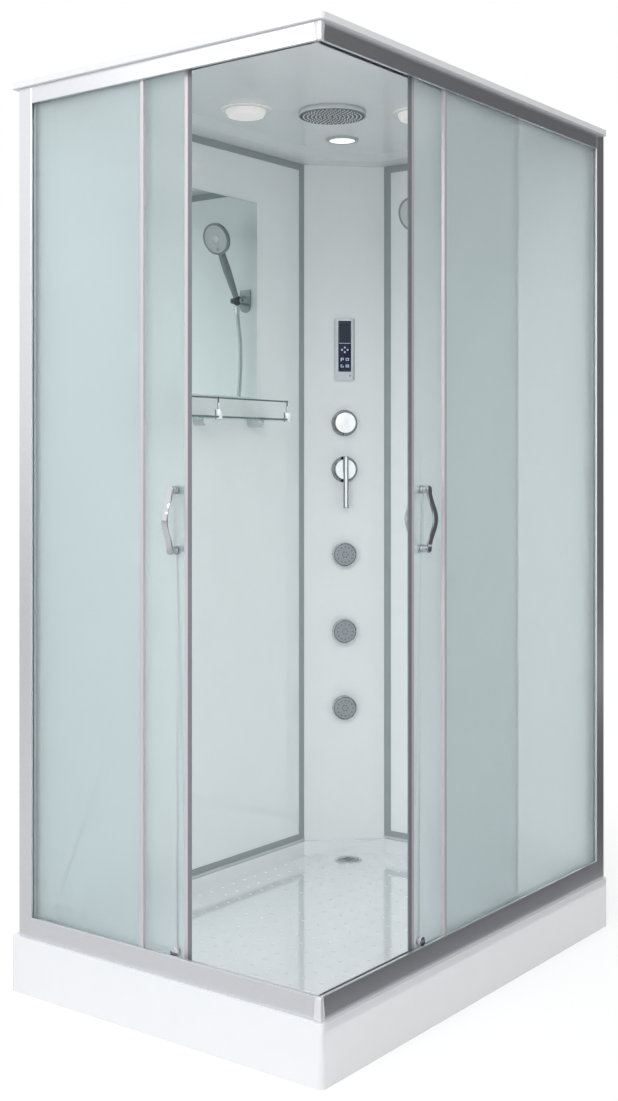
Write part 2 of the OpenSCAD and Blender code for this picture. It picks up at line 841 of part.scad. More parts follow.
// Slanted column, a panel whose edges turn back against the ends of the two walls
module column() color("white") difference() {
    translate([0, 0, tray_h]) linear_extrude(wall_h) polygon([
        [wall_x - wall_t, wall_y - col_leg], [wall_x, wall_y - col_leg],
        [wall_x + col_leg, wall_y], [wall_x + col_leg, wall_y + wall_t],
        [wall_x + col_leg - col_t, wall_y + wall_t],
        [wall_x + col_leg - col_t, wall_y - col_t + col_t * sqrt(2)],
        [wall_x + col_t - col_t * sqrt(2), wall_y - col_leg + col_t],
        [wall_x - wall_t, wall_y - col_leg + col_t]]);
    for (z = jet_z) on_column(z) outward() translate([0, 0, -col_t - over])
        cylinder(r = pipe_r + loose, h = col_t + 2 * over);
    on_column(mixer_z) outward() translate([0, 0, -col_t - over])
        cylinder(r = cap_shaft_r + over, h = col_t + 2 * over);
    on_column(diverter_z) outward() translate([0, 0, -col_t - over])
        cylinder(r = knob_shaft_r + over, h = col_t + 2 * over);
    translate([feed_x, feed_y, outlet_z]) rotate([0, 90, 0])
        cylinder(r = feed_r + loose, h = bar_w + over);
}

module mirror_pane()
    bar3([left_glass_x, mirror_y - mirror_w / 2, mirror_z], [mirror_t, mirror_w, mirror_h]);
module mirror_node() color("lightsteelblue") mirror_pane();

// Glass shelf below the mirror with its gallery, whose feet grip the glass, and wall clamps
module shelf_pane() bar3([left_glass_x + shelf_back, shelf_y - shelf_l / 2, shelf_z],
    [shelf_out - shelf_back, shelf_l, shelf_t]);
module shelf_glass() color("azure") shelf_pane();

module shelf_rail() color("silver") {
    x = left_glass_x + gallery_out;
    z = shelf_z + gallery_h;
    rod([x, shelf_y - gallery_step, z], [x, shelf_y + gallery_step, z], gallery_r);
    for (k = [-1, 0, 1]) translate([x, shelf_y + k * gallery_step, 0]) {
        translate([0, 0, z]) sphere(gallery_ball_r);
        translate([0, 0, shelf_z + shelf_t + over]) cylinder(r = gallery_r, h = gallery_h - shelf_t - over);
    }
    difference() {
        for (k = [-1, 0, 1]) translate([x, shelf_y + k * gallery_step, shelf_z - gallery_foot_low])
            cylinder(r = gallery_foot_r, h = gallery_foot_h);
        shelf_pane();
    }
}

module shelf_brackets() color("silver") for (k = [-1, 0, 1]) difference() {
    translate([left_glass_x, shelf_y + k * clamp_step, shelf_z - clamp_drop]) rotate([0, 90, 0])
        cylinder(r = clamp_r, h = clamp_l);
    bar3([left_glass_x + shelf_back, shelf_y + k * clamp_step - clamp_r - over, shelf_z],
        [clamp_l, 2 * clamp_r + 2 * over, shelf_t]);
}

// Control panel: a bezel with a pocket, a dark plate, a direction pad and two rocker keys
module control_bezel() color("silver") on_column(panel_z) difference() {
    intersection() {
        outward() translate([0, panel_h / 2, 0]) linear_extrude(panel_d)
            round_rect(panel_w, panel_h, corner_r / 2);
        linear_extrude(panel_h) polygon([[-panel_w / 2, 0], [-panel_w / 2, -panel_side_d],
            [-panel_face_w / 2, -panel_d], [panel_face_w / 2, -panel_d],
            [panel_w / 2, -panel_side_d], [panel_w / 2, 0]]);
    }
    bar3([-inset_w / 2, -panel_d - over, inset_low], [inset_w, pocket_d + over, inset_h]);
}

module control_screen() color("midnightblue") on_column(panel_z) difference() {
    bar3([-inset_w / 2, screen_in - panel_d, inset_low], [inset_w, screen_t, inset_h]);
    translate([0, 0, nav_up]) outward() cylinder(r = nav_r + fit, h = panel_d + over);
    for (z = key_up) bar3([-key_w / 2 - fit, -panel_d - over, z - key_h / 2 - fit],
        [key_w + 2 * fit, panel_d + over, key_h + 2 * fit]);
    bar3([-window_w / 2, -panel_d, window_up], [window_w, screen_in + window_d, window_h]);
}

pad_back = panel_d - screen_in - screen_t;
module nav_pad() color("lightgray") on_column(panel_z + nav_up) outward() {
    translate([0, 0, pad_back - fit]) cylinder(r = nav_r, h = screen_t + fit + screen_in + nav_proud);
    translate([0, 0, pad_back - fit - nav_flange]) cylinder(r = nav_r + nav_flange, h = nav_flange);
}

module rocker(z) on_column(panel_z + z) {
    bar3([-key_w / 2, -panel_d - nav_proud, -key_h / 2],
        [key_w, screen_t + fit + screen_in + nav_proud, key_h]);
    bar3([-key_w / 2 - nav_flange, -pad_back + fit, -key_h / 2 - nav_flange],
        [key_w + 2 * nav_flange, nav_flange, key_h + 2 * nav_flange]);
}

module key_upper() color("lightgray") rocker(key_up[0]);
module key_lower() color("lightgray") rocker(key_up[1]);

// Round plates behind the taps and cup-shaped rims of the jets
module trim_rings() color("silver") {
    on_column(diverter_z) outward() difference() {
        cylinder(r = plate_r, h = plate_t2);
        translate([0, 0, -over]) cylinder(r = knob_shaft_r + over, h = plate_t2 + 2 * over);
    }
    on_column(mixer_z) outward() difference() {
        cylinder(r = plate_r, h = plate_t2);
        translate([0, 0, -over]) cylinder(r = cap_shaft_r + over, h = plate_t2 + 2 * over);
    }
    for (z = jet_z) on_column(z) difference() {
        outward() cylinder(r = jet_r, h = rim_d);
        outward() translate([0, 0, rim_back]) cylinder(r = jet_r - rim_wall, h = rim_d);
        outward() translate([0, 0, -over]) cylinder(r = rim_bore_r, h = rim_d);
        translate([-jet_r, -face_pivot, 0]) rotate([0, 90, 0])
            cylinder(r = face_pin_r + fit, h = 2 * jet_r);
    }
}

// Swivelling perforated face of a body jet, on two short pins
module jet_face(z) color("gray") on_column(z) difference() {
    union() {
        outward() translate([0, 0, face_pivot - face_t / 2]) cylinder(r = face_r, h = face_t);
        translate([-face_pin_l, -face_pivot, 0]) rotate([0, 90, 0])
            cylinder(r = face_pin_r, h = 2 * face_pin_l);
    }
    for (k = [0 : len(face_rings) - 1], i = [0 : face_counts[k] - 1])
        outward() rotate([0, 0, i * 360 / face_counts[k]]) translate([face_rings[k], 0, 0])
            translate([0, 0, face_pivot]) cylinder(r = face_hole_r, h = face_t, $fn = 16);
}

module jet_face_a() jet_face(jet_z[0]);
module jet_face_b() jet_face(jet_z[1]);
module jet_face_c() jet_face(jet_z[2]);

// Diverter knob with its shaft in the valve and a short stub that points down
module diverter_knob() color("silver") on_column(diverter_z) outward() {
    translate([0, 0, plate_t2 + loose]) cylinder(r = knob_r, h = knob_d);
    translate([0, 0, -shaft_end]) cylinder(r = knob_shaft_r, h = shaft_end + plate_t2 + over);
    translate([0, 0, plate_t2 + loose + knob_stub_at]) rotate([90, 0, 0])
        cylinder(r = knob_stub_r, h = knob_stub_l);
}

// Mixer cap that turns on the valve, with a slot for the lever that is open at its top
module mixer_cap() color("silver") on_column(mixer_z) difference() {
    outward() union() {
        translate([0, 0, plate_t2 + loose]) cylinder(r = cap_r, h = cap_d);
        translate([0, 0, -shaft_end]) cylinder(r = cap_shaft_r, h = shaft_end + plate_t2 + over);
    }
    bar3([-lever_w / 2 - loose, -plate_t2 - cap_d - over, -lever_clear],
        [lever_w + 2 * loose, cap_d - cap_slot_back + over, cap_r + over + lever_clear]);
    translate([-lever_pin_l / 2 - loose, -lever_axis, 0]) rotate([0, 90, 0])
        cylinder(r = lever_pin_r + fit, h = lever_pin_l + 2 * loose);
}

// Lever on a cross pin in the cap, a flat bar across the cap's face that hangs down below it
lever_face = plate_t2 + cap_d + lever_gap;
module mixer_lever() color("silver") on_column(mixer_z) {
    translate([-lever_w / 2, 0, 0]) rotate([90, 0, 90]) linear_extrude(lever_w) {
        translate([-lever_axis, 0]) circle(lever_hub_r);
        translate([-lever_face - over, -lever_hub_r])
            square([lever_face + over - lever_axis, 2 * lever_hub_r]);
        translate([-lever_face - lever_t, -lever_len]) square([lever_t, lever_len + lever_top]);
    }
    translate([-lever_pin_l / 2, -lever_axis, 0]) rotate([0, 90, 0])
        cylinder(r = lever_pin_r, h = lever_pin_l);
}

// Brass valves and pipes behind the column, and the riser over the roof to the rain head
module plumbing() color("goldenrod") difference() {
    union() {
        for (z = [mixer_z, diverter_z]) on_column(z)
            bar3([-block_w / 2, block_near, -block_h / 2], [block_w, block_far - block_near, block_h]);
        on_column(0) {
            rod([0, pipe_v, jet_z[2]], [0, pipe_v, diverter_z], pipe_r);
            translate([0, pipe_v, jet_z[2]]) sphere(pipe_r + joint_t);
            for (z = jet_z) rod([0, pipe_v, z], [0, 0, z], pipe_r);
            for (u = [-inlet_u, inlet_u]) {
                rod([u, pipe_v, pipe_low], [u, pipe_v, mixer_z], pipe_r);
                translate([u, pipe_v, pipe_low]) cylinder(r = inlet_r, h = inlet_l);
            }
            rod([0, pipe_v, diverter_z], [0, riser_v, diverter_z], pipe_r);
            translate([0, riser_v, diverter_z]) sphere(pipe_r + joint_t);
        }
        riser = [col_x - riser_v / sqrt(2), col_y + riser_v / sqrt(2)];
        pipe_top = cab_h + riser_rise;
        rod([riser[0], riser[1], diverter_z], [riser[0], riser[1], pipe_top], pipe_r);
        translate([riser[0], riser[1], pipe_top]) sphere(pipe_r + joint_t);
        rod([riser[0], riser[1], pipe_top], [rain_at[0], riser[1], pipe_top], pipe_r);
        translate([rain_at[0], riser[1], pipe_top]) sphere(pipe_r + joint_t);
        rod([rain_at[0], riser[1], pipe_top],
            [rain_at[0], rain_at[1] + rain_stem_r + fit, pipe_top], pipe_r);
        rod([col_x, col_y + block_far - block_near, diverter_z], [feed_x, feed_y, diverter_z], feed_r);
        translate([feed_x, feed_y, diverter_z]) sphere(feed_r + joint_t);
        rod([feed_x, feed_y, diverter_z], [feed_x, feed_y, outlet_z], feed_r);
        translate([feed_x, feed_y, outlet_z]) sphere(feed_r + joint_t);
        rod([feed_x, feed_y, outlet_z], [hand_x, feed_y, outlet_z], feed_r);
        bar3([hand_x - feed_tee, back_glass_y + glass_t + over, outlet_z - feed_tee],
            [2 * feed_tee, 2 * feed_r + over, 2 * feed_tee]);
    }
    on_column(mixer_z) outward() translate([0, 0, -shaft_end - over])
        cylinder(r = cap_shaft_r + fit / 2, h = shaft_end);
    on_column(diverter_z) outward() translate([0, 0, -shaft_end - over])
        cylinder(r = knob_shaft_r + fit / 2, h = shaft_end);
}

// Roof slab whose middle field is raised behind a shallow slope
roof_edge = [wall_x + field_edge, -cab_d / 2 + rail_inset + field_open, cab_w / 2 - rail_inset - field_open,
    wall_y - field_edge, field_edge];

module roof() color("white") difference() {
    translate([0, 0, roof_z]) linear_extrude(roof_t) round_rect(cab_w, cab_d, corner_r);
    hull() {
        translate([0, 0, roof_z - over]) linear_extrude(over) polygon(cut_outline(roof_edge, 0));
        translate([0, 0, roof_z]) linear_extrude(field_d) polygon(cut_outline(roof_edge, -band_w));
    }
    translate([rain_at[0], rain_at[1], roof_z]) cylinder(r = rain_stem_r + fit, h = roof_t + over);
    translate([lamp_at[0], lamp_at[1], roof_z]) cylinder(r = lamp_can_r + loose, h = roof_t + over);
    translate([cover_at[0], cover_at[1], roof_z]) cylinder(r = speaker_r, h = roof_t + over);
    translate([2 * rain_at[0] - cover_at[0], 2 * rain_at[1] - cover_at[1], roof_z])
        cylinder(r = fan_hole_r, h = roof_t + over);
    translate([col_x - riser_v / sqrt(2), col_y + riser_v / sqrt(2), roof_z - over])
        cylinder(r = pipe_r + loose, h = roof_t + 2 * over);
}

// Rain head with a stem through the roof
module rain_head() color("gainsboro") translate([rain_at[0], rain_at[1], 0]) difference() {
    union() {
        translate([0, 0, field_z - rain_drop]) cylinder(r = rain_r, h = rain_t);
        translate([0, 0, field_z - rain_drop]) cylinder(r = rain_neck_r, h = rain_drop);
        translate([0, 0, field_z - over])
            cylinder(r = rain_stem_r, h = roof_z + roof_t + riser_rise + pipe_r - field_z + over);
    }
    translate([0, 0, field_z - rain_drop - over]) difference() {
        cylinder(r = rain_r - rain_ring, h = rain_groove + over);
        cylinder(r = rain_r - rain_ring - over, h = rain_groove + 2 * over);
    }
}

// Ceiling lamp with its can through the roof
module lamp() color("lightyellow") translate([lamp_at[0], lamp_at[1], 0]) {
    translate([0, 0, field_z - lamp_t]) cylinder(r = lamp_r, h = lamp_t);
    translate([0, 0, field_z - over]) cylinder(r = lamp_can_r, h = lamp_can_h + over);
}

// Covers of the loudspeaker and the fan: a flat ring and a tapered cup, hollow above
module ceiling_cover() translate([0, 0, field_z]) rotate_extrude() difference() {
    union() {
        translate([0, -cover_ring_t]) square([cover_r, cover_ring_t]);
        polygon([[0, 0], [cover_lip_r, 0], [cover_lip_r, -cover_lip_h],
            [cover_face_r, -cover_drop], [0, -cover_drop]]);
    }
    translate([0, cover_shell - cover_drop])
        square([speaker_r - cover_shell, cover_drop - cover_shell + over]);
}

module ceiling_covers() color("white") {
    translate([cover_at[0], cover_at[1], 0]) ceiling_cover();
    translate([2 * rain_at[0] - cover_at[0], 2 * rain_at[1] - cover_at[1], 0]) ceiling_cover();
}

module at_fan(z) translate([2 * rain_at[0] - cover_at[0], 2 * rain_at[1] - cover_at[1], z]) children();

// Fan on the roof: square housing with struts and a bearing pin
module fan_housing() color("dimgray") at_fan(cab_h) {
    difference() {
        translate([-fan_w / 2, -fan_w / 2, 0]) cube([fan_w, fan_w, fan_h]);
        translate([0, 0, -over]) cylinder(r = fan_hole_r, h = fan_h + 2 * over);
    }
    for (a = [0, 90]) rotate([0, 0, a]) translate([-fan_hole_r - over, -fan_strut / 2, fan_h - fan_floor])
        cube([2 * fan_hole_r + 2 * over, fan_strut, fan_floor]);
    translate([0, 0, fan_h - fan_floor]) cylinder(r = fan_hub_r, h = fan_floor);
    translate([0, 0, fan_floor]) cylinder(r = fan_pin_r, h = fan_h - fan_floor);
}

module fan_rotor() color("black") at_fan(cab_h + fan_floor) difference() {
    union() {
        cylinder(r = fan_hub_r - over, h = fan_h - 2 * fan_floor - over);
        intersection() {
            cylinder(r = fan_blade_r, h = fan_h - 2 * fan_floor - over);
            for (k = [0 : fan_blades - 1]) rotate([0, 0, k * 360 / fan_blades])
                translate([0, 0, fan_h / 2 - fan_floor]) rotate([fan_pitch, 0, 0])
                    translate([fan_pin_r + over, -fan_blade_w / 2, -fan_blade_t / 2])
                        cube([fan_blade_r, fan_blade_w, fan_blade_t]);
        }
    }
    translate([0, 0, -over]) cylinder(r = fan_pin_r + fit / 2, h = fan_h);
}

// Holder of the hand shower: wall plate, block and two arms
module at_pivot() translate([hand_x, pivot_y, pivot_z]) children();

module holder_base() color("silver") difference() {
    union() {
        translate([hand_x, back_glass_y, pivot_z]) rotate([90, 0, 0]) linear_extrude(base_t) {
            translate([0, base_w / 2 - base_low]) circle(base_w / 2);
            translate([-base_w / 2, base_w / 2 - base_low]) square([base_w, base_h - base_w / 2]);
        }
        bar3([hand_x - block_hw / 2 - arm_t, back_glass_y - base_t - block_hd + over,
            pivot_z + block_up - block_hh / 2], [block_hw + 2 * arm_t, block_hd, block_hh / 2]);
        for (k = [-1, 1]) translate([hand_x + k * (arm_gap + arm_t / 2), 0, 0]) {
            bar3([-arm_t / 2, pivot_y, pivot_z - arm_h / 2],
                [arm_t, back_glass_y - base_t - pivot_y, arm_h]);
            translate([-arm_t / 2, pivot_y, pivot_z]) rotate([0, 90, 0]) cylinder(r = arm_end, h = arm_t);
        }
    }
    at_pivot() translate([-base_w, 0, 0]) rotate([0, 90, 0])
        cylinder(r = trunnion_r + fit / 2, h = 2 * base_w);
    at_pivot() sphere(cradle_r + over);
}

// Ball-shaped cradle on two trunnions, bored for the stem of the hand shower
module lean() at_pivot() rotate([handle_lean, 0, 0]) children();

module holder_cradle() color("silver") difference() {
    union() {
        at_pivot() sphere(cradle_r);
        at_pivot() translate([-arm_gap - arm_t, 0, 0]) rotate([0, 90, 0])
            cylinder(r = trunnion_r, h = 2 * (arm_gap + arm_t));
    }
    lean() cylinder(r = stem_r, h = 2 * cradle_r);
}

// Hand shower: stem in the cradle, tapered grip and round head
module handset() color("silver") lean() difference() {
    union() {
        cylinder(r = stem_r, h = cradle_r + over);
        rotate_extrude() polygon([[0, cradle_r], [grip_low_r, cradle_r], [grip_low_r, grip_start],
            [grip_r, head_dist / 2], [neck_r, head_dist - head_r / 2], [0, head_dist - head_r / 2]]);
        translate([0, 0, head_dist]) rotate([90 - head_tilt, 0, 0]) translate([0, 0, -head_t / 2])
            rotate_extrude() polygon([[0, -head_dome], [head_r / 3, -head_dome],
                [head_r * 2 / 3, -head_dome / 2], [head_r, 0], [head_r, head_t], [0, head_t]]);
    }
    translate([0, 0, head_dist]) rotate([90 - head_tilt, 0, 0])
        translate([0, 0, head_t / 2 - head_groove]) {
        difference() {
            cylinder(r = head_face_r, h = head_t);
            translate([0, 0, -over]) cylinder(r = head_face_r - over, h = head_t + 2 * over);
        }
        difference() {
            cylinder(r = head_hub_r, h = head_t);
            translate([0, 0, -over]) cylinder(r = head_hub_r - over, h = head_t + 2 * over);
        }
    }
}

// Smooth curve through the points of the route, then its length tables
function spline(p, i, t) =
    let (a = p[max(i - 1, 0)], b = p[i], c = p[i + 1], d = p[min(i + 2, len(p) - 1)])
    b + (c - a) * t / 2 + (2 * a - 5 * b + 4 * c - d) * t * t / 2 + (3 * b - a - 3 * c + d) * t * t * t / 2;
hose_fine = [for (i = [0 : len(hose_route) - 2], k = [0 : hose_steps - 1])
    spline(hose_route, i, k / hose_steps), hose_route[len(hose_route) - 1]];
hose_at = [for (i = 0, s = 0; i < len(hose_fine);
    s = s + norm(hose_fine[min(i + 1, len(hose_fine) - 1)] - hose_fine[i]), i = i + 1) s];
hose_len = hose_at[len(hose_at) - 1];
hose_tab = [for (k = [0 : 2]) [for (i = [0 : len(hose_fine) - 1]) [hose_at[i], hose_fine[i][k]]]];
function hose_point(s) = [for (k = [0 : 2]) lookup(s, hose_tab[k])];
function unit(v) = v / norm(v);
function hose_dir(s) = s < 2 * hose_r ? [0, 0, -1] : s > hose_len - 2 * hose_r ? [0, 0, 1]
    : unit(hose_point(s + over) - hose_point(s - over));
// Ring of the hose at a distance along it, square to the route
function hose_ring(s, r) =
    let (d = hose_dir(s), n = unit(cross([0, 1, 0], d)), b = cross(d, n), c = hose_point(s))
    [for (i = [0 : hose_sides - 1])
        c + r * (cos(i * 360 / hose_sides) * n + sin(i * 360 / hose_sides) * b)];
hose_pitch = (hose_len - 4 * hose_r) / hose_ribs;
hose_outer = [[0, hose_r], [2 * hose_r, hose_r],
    for (k = [0 : hose_ribs - 1]) each [[2 * hose_r + (k + 0.25) * hose_pitch, hose_r - hose_valley],
        [2 * hose_r + (k + 0.75) * hose_pitch, hose_r]], [hose_len - 2 * hose_r, hose_r - hose_valley],
    [hose_len, hose_r]];
hose_inner = [for (i = [0 : 2 : len(hose_outer) - 1]) hose_outer[i][0], hose_len];
function tube_faces(first, rings, flip) = [for (k = [0 : rings - 2], i = [0 : hose_sides - 1])
    let (a = first + k * hose_sides + i, b = first + k * hose_sides + (i + 1) % hose_sides,
        c = a + hose_sides, d = b + hose_sides)
    each flip ? [[a, c, b], [b, c, d]] : [[a, b, c], [b, d, c]]];
function end_faces(outer, inner, flip) = [for (i = [0 : hose_sides - 1])
    let (a = outer + i, b = outer + (i + 1) % hose_sides, c = inner + i, d = inner + (i + 1) % hose_sides)
    each flip ? [[a, b, c], [b, d, c]] : [[a, c, b], [b, c, d]]];

// Ribbed hose with its bore, one unbroken tube
module hose() color("silver") {
    inner = [for (i = [0 : len(hose_inner) - 1])
        if (i == 0 || hose_inner[i] > hose_inner[i - 1]) hose_inner[i]];
    first = len(hose_outer) * hose_sides;
    polyhedron(points = [for (p = hose_outer) each hose_ring(p[0], p[1]),
            for (s = inner) each hose_ring(s, hose_bore_r)],
        faces = [each tube_faces(0, len(hose_outer), false), each tube_faces(first, len(inner), true),
            each end_faces(0, first, false),
            each end_faces(first - hose_sides, first + (len(inner) - 1) * hose_sides, true)]);
}

// Wall outlet that the hose hangs from, its mouth pointing down
module outlet_elbow() color("silver") translate([hand_x, 0, 0]) difference() {
    union() {
        translate([0, back_glass_y, outlet_z]) rotate([90, 0, 0])
            cylinder(r = elbow_flange_r, h = elbow_flange_t);
        rod([0, back_glass_y, outlet_z], [0, outlet_y, outlet_z], elbow_r);
        translate([0, outlet_y, outlet_z]) sphere(elbow_r);
        translate([0, outlet_y, outlet_low]) cylinder(r = elbow_r, h = outlet_z - outlet_low);
        rod([0, back_glass_y + glass_t + over, outlet_z], [0, back_glass_y - over, outlet_z], elbow_tail_r);
    }
    translate([0, outlet_y, outlet_low - over]) cylinder(r = hose_bore_r, h = outlet_z - outlet_low + over);
}

tray();
tray_frame();
tray_feet();
drain_trap();
drain_flange();
drain_cover();
bottom_rails();
top_rails();
corner_connectors();
wall_posts();
front_fixed_glass();
side_fixed_glass();
fixed_edges();
front_door_glass();
front_door_edge();
front_door_seals();
front_door_handle();
front_door_carriers();
front_wheel_a();
front_wheel_b();
side_door_glass();
side_door_edge();
side_door_seals();
side_door_handle();
side_door_carriers();
side_wheel_a();
side_wheel_b();
left_wall_glass();
back_wall_glass();
wall_frames();
column();
mirror_node();  // mirror
shelf_glass();
shelf_rail();
shelf_brackets();
control_bezel();
control_screen();
nav_pad();
key_upper();
key_lower();
trim_rings();
diverter_knob();
mixer_cap();
mixer_lever();
plumbing();
jet_face_a();
jet_face_b();
jet_face_c();
roof();
rain_head();
lamp();
ceiling_covers();
fan_housing();
fan_rotor();
holder_base();
holder_cradle();
handset();
hose();
outlet_elbow();
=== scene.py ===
"""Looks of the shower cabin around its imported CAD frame, in metres, in the CAD's own frame."""

import math

import bmesh
import bpy
from mathutils import Matrix, Vector


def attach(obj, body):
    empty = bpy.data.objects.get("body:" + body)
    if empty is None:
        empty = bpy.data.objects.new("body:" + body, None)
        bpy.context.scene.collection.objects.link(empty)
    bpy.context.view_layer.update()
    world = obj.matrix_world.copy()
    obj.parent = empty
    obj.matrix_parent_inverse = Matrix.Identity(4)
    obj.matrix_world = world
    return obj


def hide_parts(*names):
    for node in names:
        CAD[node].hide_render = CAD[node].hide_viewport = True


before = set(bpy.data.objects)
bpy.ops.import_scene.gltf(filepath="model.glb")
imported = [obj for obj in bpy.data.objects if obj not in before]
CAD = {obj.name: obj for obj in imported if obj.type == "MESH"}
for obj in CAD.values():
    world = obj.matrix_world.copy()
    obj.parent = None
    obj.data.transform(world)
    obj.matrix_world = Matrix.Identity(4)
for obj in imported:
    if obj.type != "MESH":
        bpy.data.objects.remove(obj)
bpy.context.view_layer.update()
MM = 0.001
DOWN = Matrix.Rotation(math.pi, 4, "X")

# ---------------- camera

camera_data = bpy.data.cameras.new("camera")
camera = bpy.data.objects.new("camera", camera_data)
bpy.context.scene.collection.objects.link(camera)
# Place, turn and lens follow from the vanishing directions of the photo
camera.location = (2.1629, -2.9505, 1.2445)
camera.rotation_euler = (math.radians(90), 0, math.radians(37.04))
camera_data.sensor_width = 36
camera_data.lens = 47.1
camera_data.shift_y = -0.0772
bpy.context.scene.camera = camera
bpy.context.scene.view_settings.view_transform = "Standard"


# ---------------- materials


def linear(rgb):
    """Linear values of a colour written as 0 to 255."""
    shares = (c / 255 for c in rgb)
    return tuple(v / 12.92 if v <= 0.04045 else ((v + 0.055) / 1.055) ** 2.4 for v in shares)


def shader_node(tree, kind, **values):
    """A shader node with its sockets set by name."""
    n = tree.nodes.new(kind)
    for key, value in values.items():
        n.inputs[key.replace("_", " ")].default_value = value
    return n


def noise_at(tree, place, scale, detail=3.0):
    n = shader_node(tree, "ShaderNodeTexNoise", Scale=scale, Detail=detail)
    tree.links.new(place.outputs["Vector"], n.inputs["Vector"])
    return n.outputs["Fac"]


def ranged(tree, value, low, high):
    """The middle of a noise's range, spread from low to high."""
    m = shader_node(tree, "ShaderNodeMapRange")
    m.inputs["From Min"].default_value = 0.3
    m.inputs["From Max"].default_value = 0.7
    m.inputs["To Min"].default_value = low
    m.inputs["To Max"].default_value = high
    tree.links.new(value, m.inputs["Value"])
    return m.outputs["Result"]


def finish_of(
    name,
    rgb,
    rough,
    metal=0.0,
    tint=0.02,
    rub=0.03,
    cells=18.0,
    stretch=(1, 1, 1),
    grain=400.0,
    bump=0.0,
    glass=False,
    shade=(0.98, 0.99, 0.99),
    strength=0.0,
    **sockets,
):
    """A Principled surface whose colour, roughness and relief vary with noise in object space."""
    material = bpy.data.materials.new(name)
    material.use_nodes = True
    tree = material.node_tree
    tree.nodes.clear()
    out = tree.nodes.new("ShaderNodeOutputMaterial")
    surface = shader_node(tree, "ShaderNodeBsdfPrincipled", Metallic=metal, **sockets)
    where = tree.nodes.new("ShaderNodeTexCoord")
    place = tree.nodes.new("ShaderNodeMapping")
    place.inputs["Scale"].default_value = stretch
    tree.links.new(where.outputs["Object"], place.inputs["Vector"])
    base = linear(rgb)
    mix = tree.nodes.new("ShaderNodeMix")
    mix.data_type = "RGBA"
    mix.inputs[6].default_value = (*[v * (1 - tint) for v in base], 1)
    mix.inputs[7].default_value = (*[min(1, v * (1 + tint)) for v in base], 1)
    tree.links.new(ranged(tree, noise_at(tree, place, cells), 0, 1), mix.inputs[0])
    tree.links.new(mix.outputs[2], surface.inputs["Base Color"])
    low, high = max(0.005, rough - rub), rough + rub
    tree.links.new(ranged(tree, noise_at(tree, place, grain), low, high), surface.inputs["Roughness"])
    if bump:
        relief = shader_node(tree, "ShaderNodeBump", Strength=bump, Distance=MM)
        tree.links.new(noise_at(tree, place, grain, 2.0), relief.inputs["Height"])
        tree.links.new(relief.outputs["Normal"], surface.inputs["Normal"])
    if strength:
        surface.inputs["Emission Color"].default_value = (*base, 1)
        surface.inputs["Emission Strength"].default_value = strength
    shown = surface
    if glass:
        path = tree.nodes.new("ShaderNodeLightPath")
        clear = tree.nodes.new("ShaderNodeBsdfTransparent")
        clear.inputs["Color"].default_value = (*shade, 1)
        shown = tree.nodes.new("ShaderNodeMixShader")
        tree.links.new(path.outputs["Is Shadow Ray"], shown.inputs[0])
        tree.links.new(surface.outputs[0], shown.inputs[1])
        tree.links.new(clear.outputs[0], shown.inputs[2])
    tree.links.new(shown.outputs[0], out.inputs["Surface"])
    return material


ALONG_Z = (1, 1, 0.02)
FINISH = {}


def slot_finish(name, *looks, **sockets):
    """Keeps the finish of a slot under the slot's name."""
    FINISH[name] = finish_of(name, *looks, **sockets)


slot_finish(
    "acrylic_white",
    (247, 249, 252),
    0.1,
    tint=0.006,
    bump=0.01,
    grain=120,
    Coat_Weight=1.0,
    Coat_IOR=1.9,
)
slot_finish("frame_steel", (150, 152, 155), 0.45, metal=0.8, tint=0.1, rub=0.1, bump=0.1)
slot_finish("trap_plastic", (226, 227, 224), 0.38, tint=0.02, bump=0.05)
slot_finish("chrome", (214, 217, 220), 0.06, metal=1.0, tint=0.01, rub=0.02, grain=90)
slot_finish("dark_steel", (112, 114, 117), 0.24, metal=1.0, tint=0.05, stretch=(1, 0.05, 1))
slot_finish(
    "rail_aluminium", (226, 227, 231), 0.3, metal=1.0, tint=0.02, stretch=(1, 1, 14), cells=60, bump=0.03
)
slot_finish(
    "bright_aluminium", (224, 225, 229), 0.2, metal=1.0, tint=0.02, stretch=ALONG_Z, cells=200, bump=0.03
)
slot_finish("frame_grey", (166, 173, 175), 0.5, tint=0.02, bump=0.05, IOR=1.4)
slot_finish(
    "frosted_glass",
    (238, 245, 246),
    0.42,
    tint=0.008,
    grain=2500,
    bump=0.08,
    glass=True,
    IOR=1.3,
    Transmission_Weight=0.88,
)
slot_finish("seal_rubber", (120, 124, 130), 0.45, tint=0.04, bump=0.05)
slot_finish("nylon", (214, 215, 218), 0.4, tint=0.02, bump=0.04)
slot_finish(
    "white_glass", (249, 252, 252), 0.035, tint=0.006, rub=0.01, grain=60, IOR=1.52, Coat_Weight=0.3
)
slot_finish("mirror", (232, 240, 239), 0.012, metal=1.0, tint=0.004, rub=0.004, grain=40)
slot_finish(
    "clear_glass",
    (228, 242, 239),
    0.02,
    tint=0.006,
    rub=0.008,
    glass=True,
    IOR=1.48,
    Transmission_Weight=1.0,
)
slot_finish("column_white", (247, 248, 248), 0.12, tint=0.006, grain=80, IOR=1.5)
slot_finish("panel_silver", (222, 224, 228), 0.24, metal=0.55, tint=0.02, stretch=ALONG_Z)
slot_finish("screen_blue", (22, 28, 58), 0.12, tint=0.08, IOR=1.5)
slot_finish("key_grey", (22, 28, 62), 0.2, tint=0.08, IOR=1.5)
slot_finish("jet_grey", (168, 172, 176), 0.35, tint=0.03, bump=0.05)
slot_finish("brass", (206, 172, 104), 0.3, metal=1.0, tint=0.1, rub=0.1, bump=0.05)
slot_finish("roof_white", (236, 238, 240), 0.2, tint=0.008, bump=0.01, grain=120, IOR=1.5)
slot_finish("rain_grey", (58, 63, 67), 0.22, metal=0.5, tint=0.02)
slot_finish("lamp_white", (255, 253, 248), 0.3, tint=0.004, strength=1.0)
